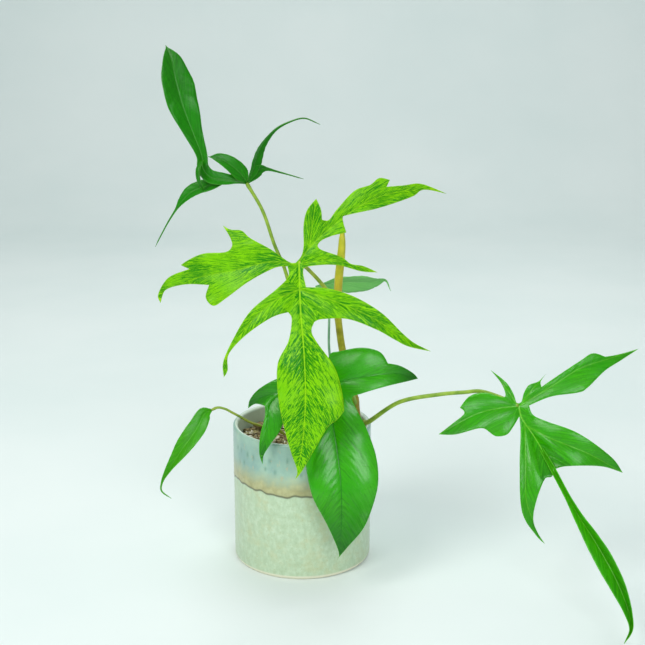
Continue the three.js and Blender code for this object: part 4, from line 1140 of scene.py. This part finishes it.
class Settings(bpy.types.PropertyGroup):
    """Everything a user may change before building."""
    pot: bpy.props.PointerProperty(type=PotSettings, name="Pot", description="The pot's finish")
    leaf: bpy.props.PointerProperty(type=LeafSettings, name="Leaf", description="The youngest leaf's colours")
    stem: bpy.props.PointerProperty(type=StemSettings, name="Stem", description="Stem and stalks")
    mix: bpy.props.PointerProperty(type=MixSettings, name="Mix", description="The potting mix")
    studio: bpy.props.PointerProperty(type=StudioSettings, name="Studio", description="Lamps and camera")


# ------------------------------------------------------------------ operators
class PHILODENDRON_OT_pot(bpy.types.Operator):
    """Throw and glaze the pot"""
    bl_idname = "philodendron.pot"
    bl_label = "Pot"

    def execute(self, context):
        chosen = context.scene.philodendron.pot
        pot_piece(celadon_stoneware(), chosen.dimple_count, chosen.dimple_depth / MM)
        return {"FINISHED"}


class PHILODENDRON_OT_mix(bpy.types.Operator):
    """Fill the pot with its heap of mix and the crumbs that lie on it"""
    bl_idname = "philodendron.mix"
    bl_label = "Potting mix"

    def execute(self, context):
        # Each crumb: its shades, grain in mm, lowest and highest roughness, and how deep its pits are.
        surfaces = [
            crumb("damp_peat", ["#211D12", "#5C5636", "#96906A", "#BDB68C"], 1.4, 0.85, 0.98, 0.2),
            bark_chip_wood(),
            crumb("akadama_grit", ["#8C8458", "#B4AC7C", "#D0C89C"], 1.2, 0.85, 0.95, 0.3),
            crumb("perlite", ["#BDB8A6", "#DAD6C6", "#EEEBDF"], 0.9, 0.8, 0.95, 0.5),
            # Near-black peat: real crumbs of the mix, which mix_piece crowds round the stem as painted shade.
            crumb("peat_fibre_and_shade", ["#140F0B", "#2C2118", "#4B3A28"], 1.0, 0.9, 1.0, 0.2),
        ]
        mix_piece(context.scene.philodendron.mix.crumbs, surfaces)
        return {"FINISHED"}


class PHILODENDRON_OT_loose_pieces(bpy.types.Operator):
    """Lay the larger pieces of bark and pumice on the mix"""
    bl_idname = "philodendron.loose_pieces"
    bl_label = "Bark and pumice"

    def execute(self, context):
        bark = bark_chip_wood()
        pumice = crumb("pumice_stone", ["#9A9382", "#C9C3B2", "#E2DDCE"], 1.1, 0.85, 0.98, 0.6)
        for index, (name, *half, turn) in enumerate(CHIPS):
            chip_piece(index, name, np.array(half), turn, bark if name.startswith("bark") else pumice)
        return {"FINISHED"}


class PHILODENDRON_OT_stems(bpy.types.Operator):
    """Grow the main stem and the rolled new leaf at its top"""
    bl_idname = "philodendron.stems"
    bl_label = "Stem and new leaf"

    def execute(self, context):
        radius = context.scene.philodendron.stem.stem_radius / MM
        stem_taper, leaf_taper = (1.15, 1.05, 1, 0.95, 0.9), (0.88, 1.0, 1.04, 1.0, 0.8, 0.12)
        # Where leaves set off, in mm along the stem.
        joints = (12.0, 25.0, 46.0, 84.0, 133.0)
        bark = green_bark("stem_skin", "#BDB82C", "#8F8A12", "#7A4A20",
                          stain_low=122, stain_high=178, flecks=0.5)
        shoot("stem", "main_stem", MAIN_STEM, [k * radius for k in stem_taper], bark,
              stem_detail(joints), step=0.9, sides=36)
        sheath = green_bark("sheath_skin", "#C6C02C", "#9EA616", "#B48A20",
                            stain_low=230, stain_high=284, flecks=0.6)
        shoot("new_leaf", "growth_tip", GROWTH_TIP, [k * radius for k in leaf_taper], sheath,
              spear_detail, step=1.0, sides=48)
        return {"FINISHED"}


class PHILODENDRON_OT_stalks(bpy.types.Operator):
    """Grow the six leaf stalks"""
    bl_idname = "philodendron.stalks"
    bl_label = "Leaf stalks"

    def execute(self, context):
        radius = context.scene.philodendron.stem.stalk_radius / MM
        stalk_taper, sheath_length = (1.35, 1, 0.9, 0.85), 7.0
        skins = {
            "centre": green_bark("stalk_skin_new", "#B4C03A", "#86A01E", "#967A24",
                                 stain_low=230, stain_high=262, flecks=0.5),
            "aged": green_bark("stalk_skin", "#96B63A", "#658E1A", "#7C6A22",
                               stain_low=112, stain_high=150, flecks=0.45),
            "back": green_bark("stalk_skin_shaded", "#7FB088", "#5A9468", "#7C6A22",
                               stain_low=112, stain_high=140, flecks=0.3),
        }
        for name, leaf in LEAVES.items():
            shoot(f"stalk_{name}", f"petiole_{name}", [*leaf["petiole"], leaf["at"]],
                  [k * leaf["stout"] * radius for k in stalk_taper], skins.get(name, skins["aged"]),
                  stalk_detail(sheath_length * leaf["stout"]), step=1.2, sides=28)
        return {"FINISHED"}


class PHILODENDRON_OT_blades(bpy.types.Operator):
    """Grow the six lobed blades"""
    bl_idname = "philodendron.blades"
    bl_label = "Leaf blades"

    def execute(self, context):
        chosen = context.scene.philodendron.leaf
        for name, look in LEAF_LOOKS.items():
            shown = {key: colour(value) if str(value).startswith("#") else value
                     for key, value in look.items()}
            if name == "centre":
                shown.update(tissue=(*chosen.lime, 1), dark=(*chosen.streak, 1), streaks=chosen.streak_amount)
            blade(name, LEAVES[name], shown)
        return {"FINISHED"}


class PHILODENDRON_OT_studio(bpy.types.Operator):
    """Set the paper sweep, the soft lamps and the camera"""
    bl_idname = "philodendron.studio"
    bl_label = "Studio"

    def execute(self, context):
        chosen = context.scene.philodendron.studio
        # A pale paper sweep, in metres: flat under the pot, curving up well behind it.
        bend, near, far, high, half_width = 0.7, -3.2, 1.5, 3.2, 4.0
        profile = [(near, 0.0), (far, 0.0)]
        for a in np.linspace(0.1, math.pi / 2, 14):
            profile.append((far + bend * math.sin(a), bend - bend * math.cos(a)))
        profile.append((far + bend, high))
        vertices = [(x, y, z) for y, z in profile for x in (-half_width, half_width)]
        faces = [(2 * i, 2 * i + 1, 2 * i + 3, 2 * i + 2) for i in range(len(profile) - 1)]
        mesh = bpy.data.meshes.new("paper_sweep")
        mesh.from_pydata(vertices, [], faces)
        mesh.polygons.foreach_set("use_smooth", [True] * len(faces))
        mesh.materials.append(backdrop_paper())
        sweep = bpy.data.objects.new("paper_sweep", mesh)
        context.scene.collection.objects.link(sweep)

        # Each lamp: its place, what it is aimed at, its width, its power and its tint. The key stands in
        # front on the left, the fill in front on the right, the top lamp above and behind the plant, and
        # the wall lamp lights the upright part of the paper.
        key = chosen.key_power
        plant, wall = (0.05, 0, 0.2), (0, 2.3, 0.4)
        lamps = (("key_lamp", (-0.95, -1.15, 1.45), plant, 1.0, key, "#FFFDF8"),
                 ("fill_lamp", (0.45, -1.55, 0.85), plant, 0.8, key * 0.55, "#F6FAFF"),
                 ("top_lamp", (0.1, 0.6, 1.6), plant, 1.2, key * 0.5, "#FFFFFF"),
                 ("wall_lamp", (0.3, 1.0, 1.9), wall, 1.4, key * 0.36, "#FBFDFF"))
        for name, place, target, size, power, tint in lamps:
            lamp = bpy.data.lights.new(name, "AREA")
            lamp.shape, lamp.size, lamp.energy, lamp.color = "DISK", size, power, colour(tint)[:3]
            holder = bpy.data.objects.new(name, lamp)
            holder.location = place
            holder.rotation_euler = (Vector(target) - Vector(place)).to_track_quat("-Z", "Y").to_euler()
            context.scene.collection.objects.link(holder)

        world = bpy.data.worlds.new("studio")
        world.use_nodes = True
        back = world.node_tree.nodes["Background"]
        back.inputs["Color"].default_value = colour("#F1F7F8")
        back.inputs["Strength"].default_value = 0.42
        context.scene.world = world
        context.scene.view_settings.view_transform = "Standard"

        # The camera stands 1.2 m in front and looks a little down; both angles are in radians.
        look_down, look_aside = 0.2657, -0.0161
        view = bpy.data.cameras.new("camera")
        view.lens = chosen.lens
        view.sensor_width = 24
        camera = bpy.data.objects.new("camera", view)
        camera.location = (0, -1.198, 0.555)
        camera.rotation_euler = (math.pi / 2 - look_down, 0, look_aside)
        context.scene.collection.objects.link(camera)
        context.scene.camera = camera
        return {"FINISHED"}


STEPS = (PHILODENDRON_OT_studio, PHILODENDRON_OT_pot, PHILODENDRON_OT_mix, PHILODENDRON_OT_loose_pieces,
         PHILODENDRON_OT_stems, PHILODENDRON_OT_stalks, PHILODENDRON_OT_blades)


class PHILODENDRON_PT_build(bpy.types.Panel):
    """Lists the steps and the settings they read"""
    bl_idname = "PHILODENDRON_PT_build"
    bl_label = "Potted philodendron"
    bl_space_type = "VIEW_3D"
    bl_region_type = "UI"
    bl_category = "Philodendron"

    def draw(self, context):
        settings = context.scene.philodendron
        for group in (settings.pot, settings.leaf, settings.stem, settings.mix, settings.studio):
            box = self.layout.box()
            for name in group.__annotations__:
                box.prop(group, name)
        for step in STEPS:
            self.layout.operator(step.bl_idname)


CLASSES = (PotSettings, LeafSettings, StemSettings, MixSettings, StudioSettings, Settings, *STEPS,
           PHILODENDRON_PT_build)


def register():
    for made in CLASSES:
        bpy.utils.register_class(made)
    bpy.types.Scene.philodendron = bpy.props.PointerProperty(type=Settings)


def unregister():
    del bpy.types.Scene.philodendron
    for made in reversed(CLASSES):
        bpy.utils.unregister_class(made)


def main():
    register()
    for step in STEPS:
        group, name = step.bl_idname.split(".")
        getattr(getattr(bpy.ops, group), name)()


if __name__ == "__main__":
    main()
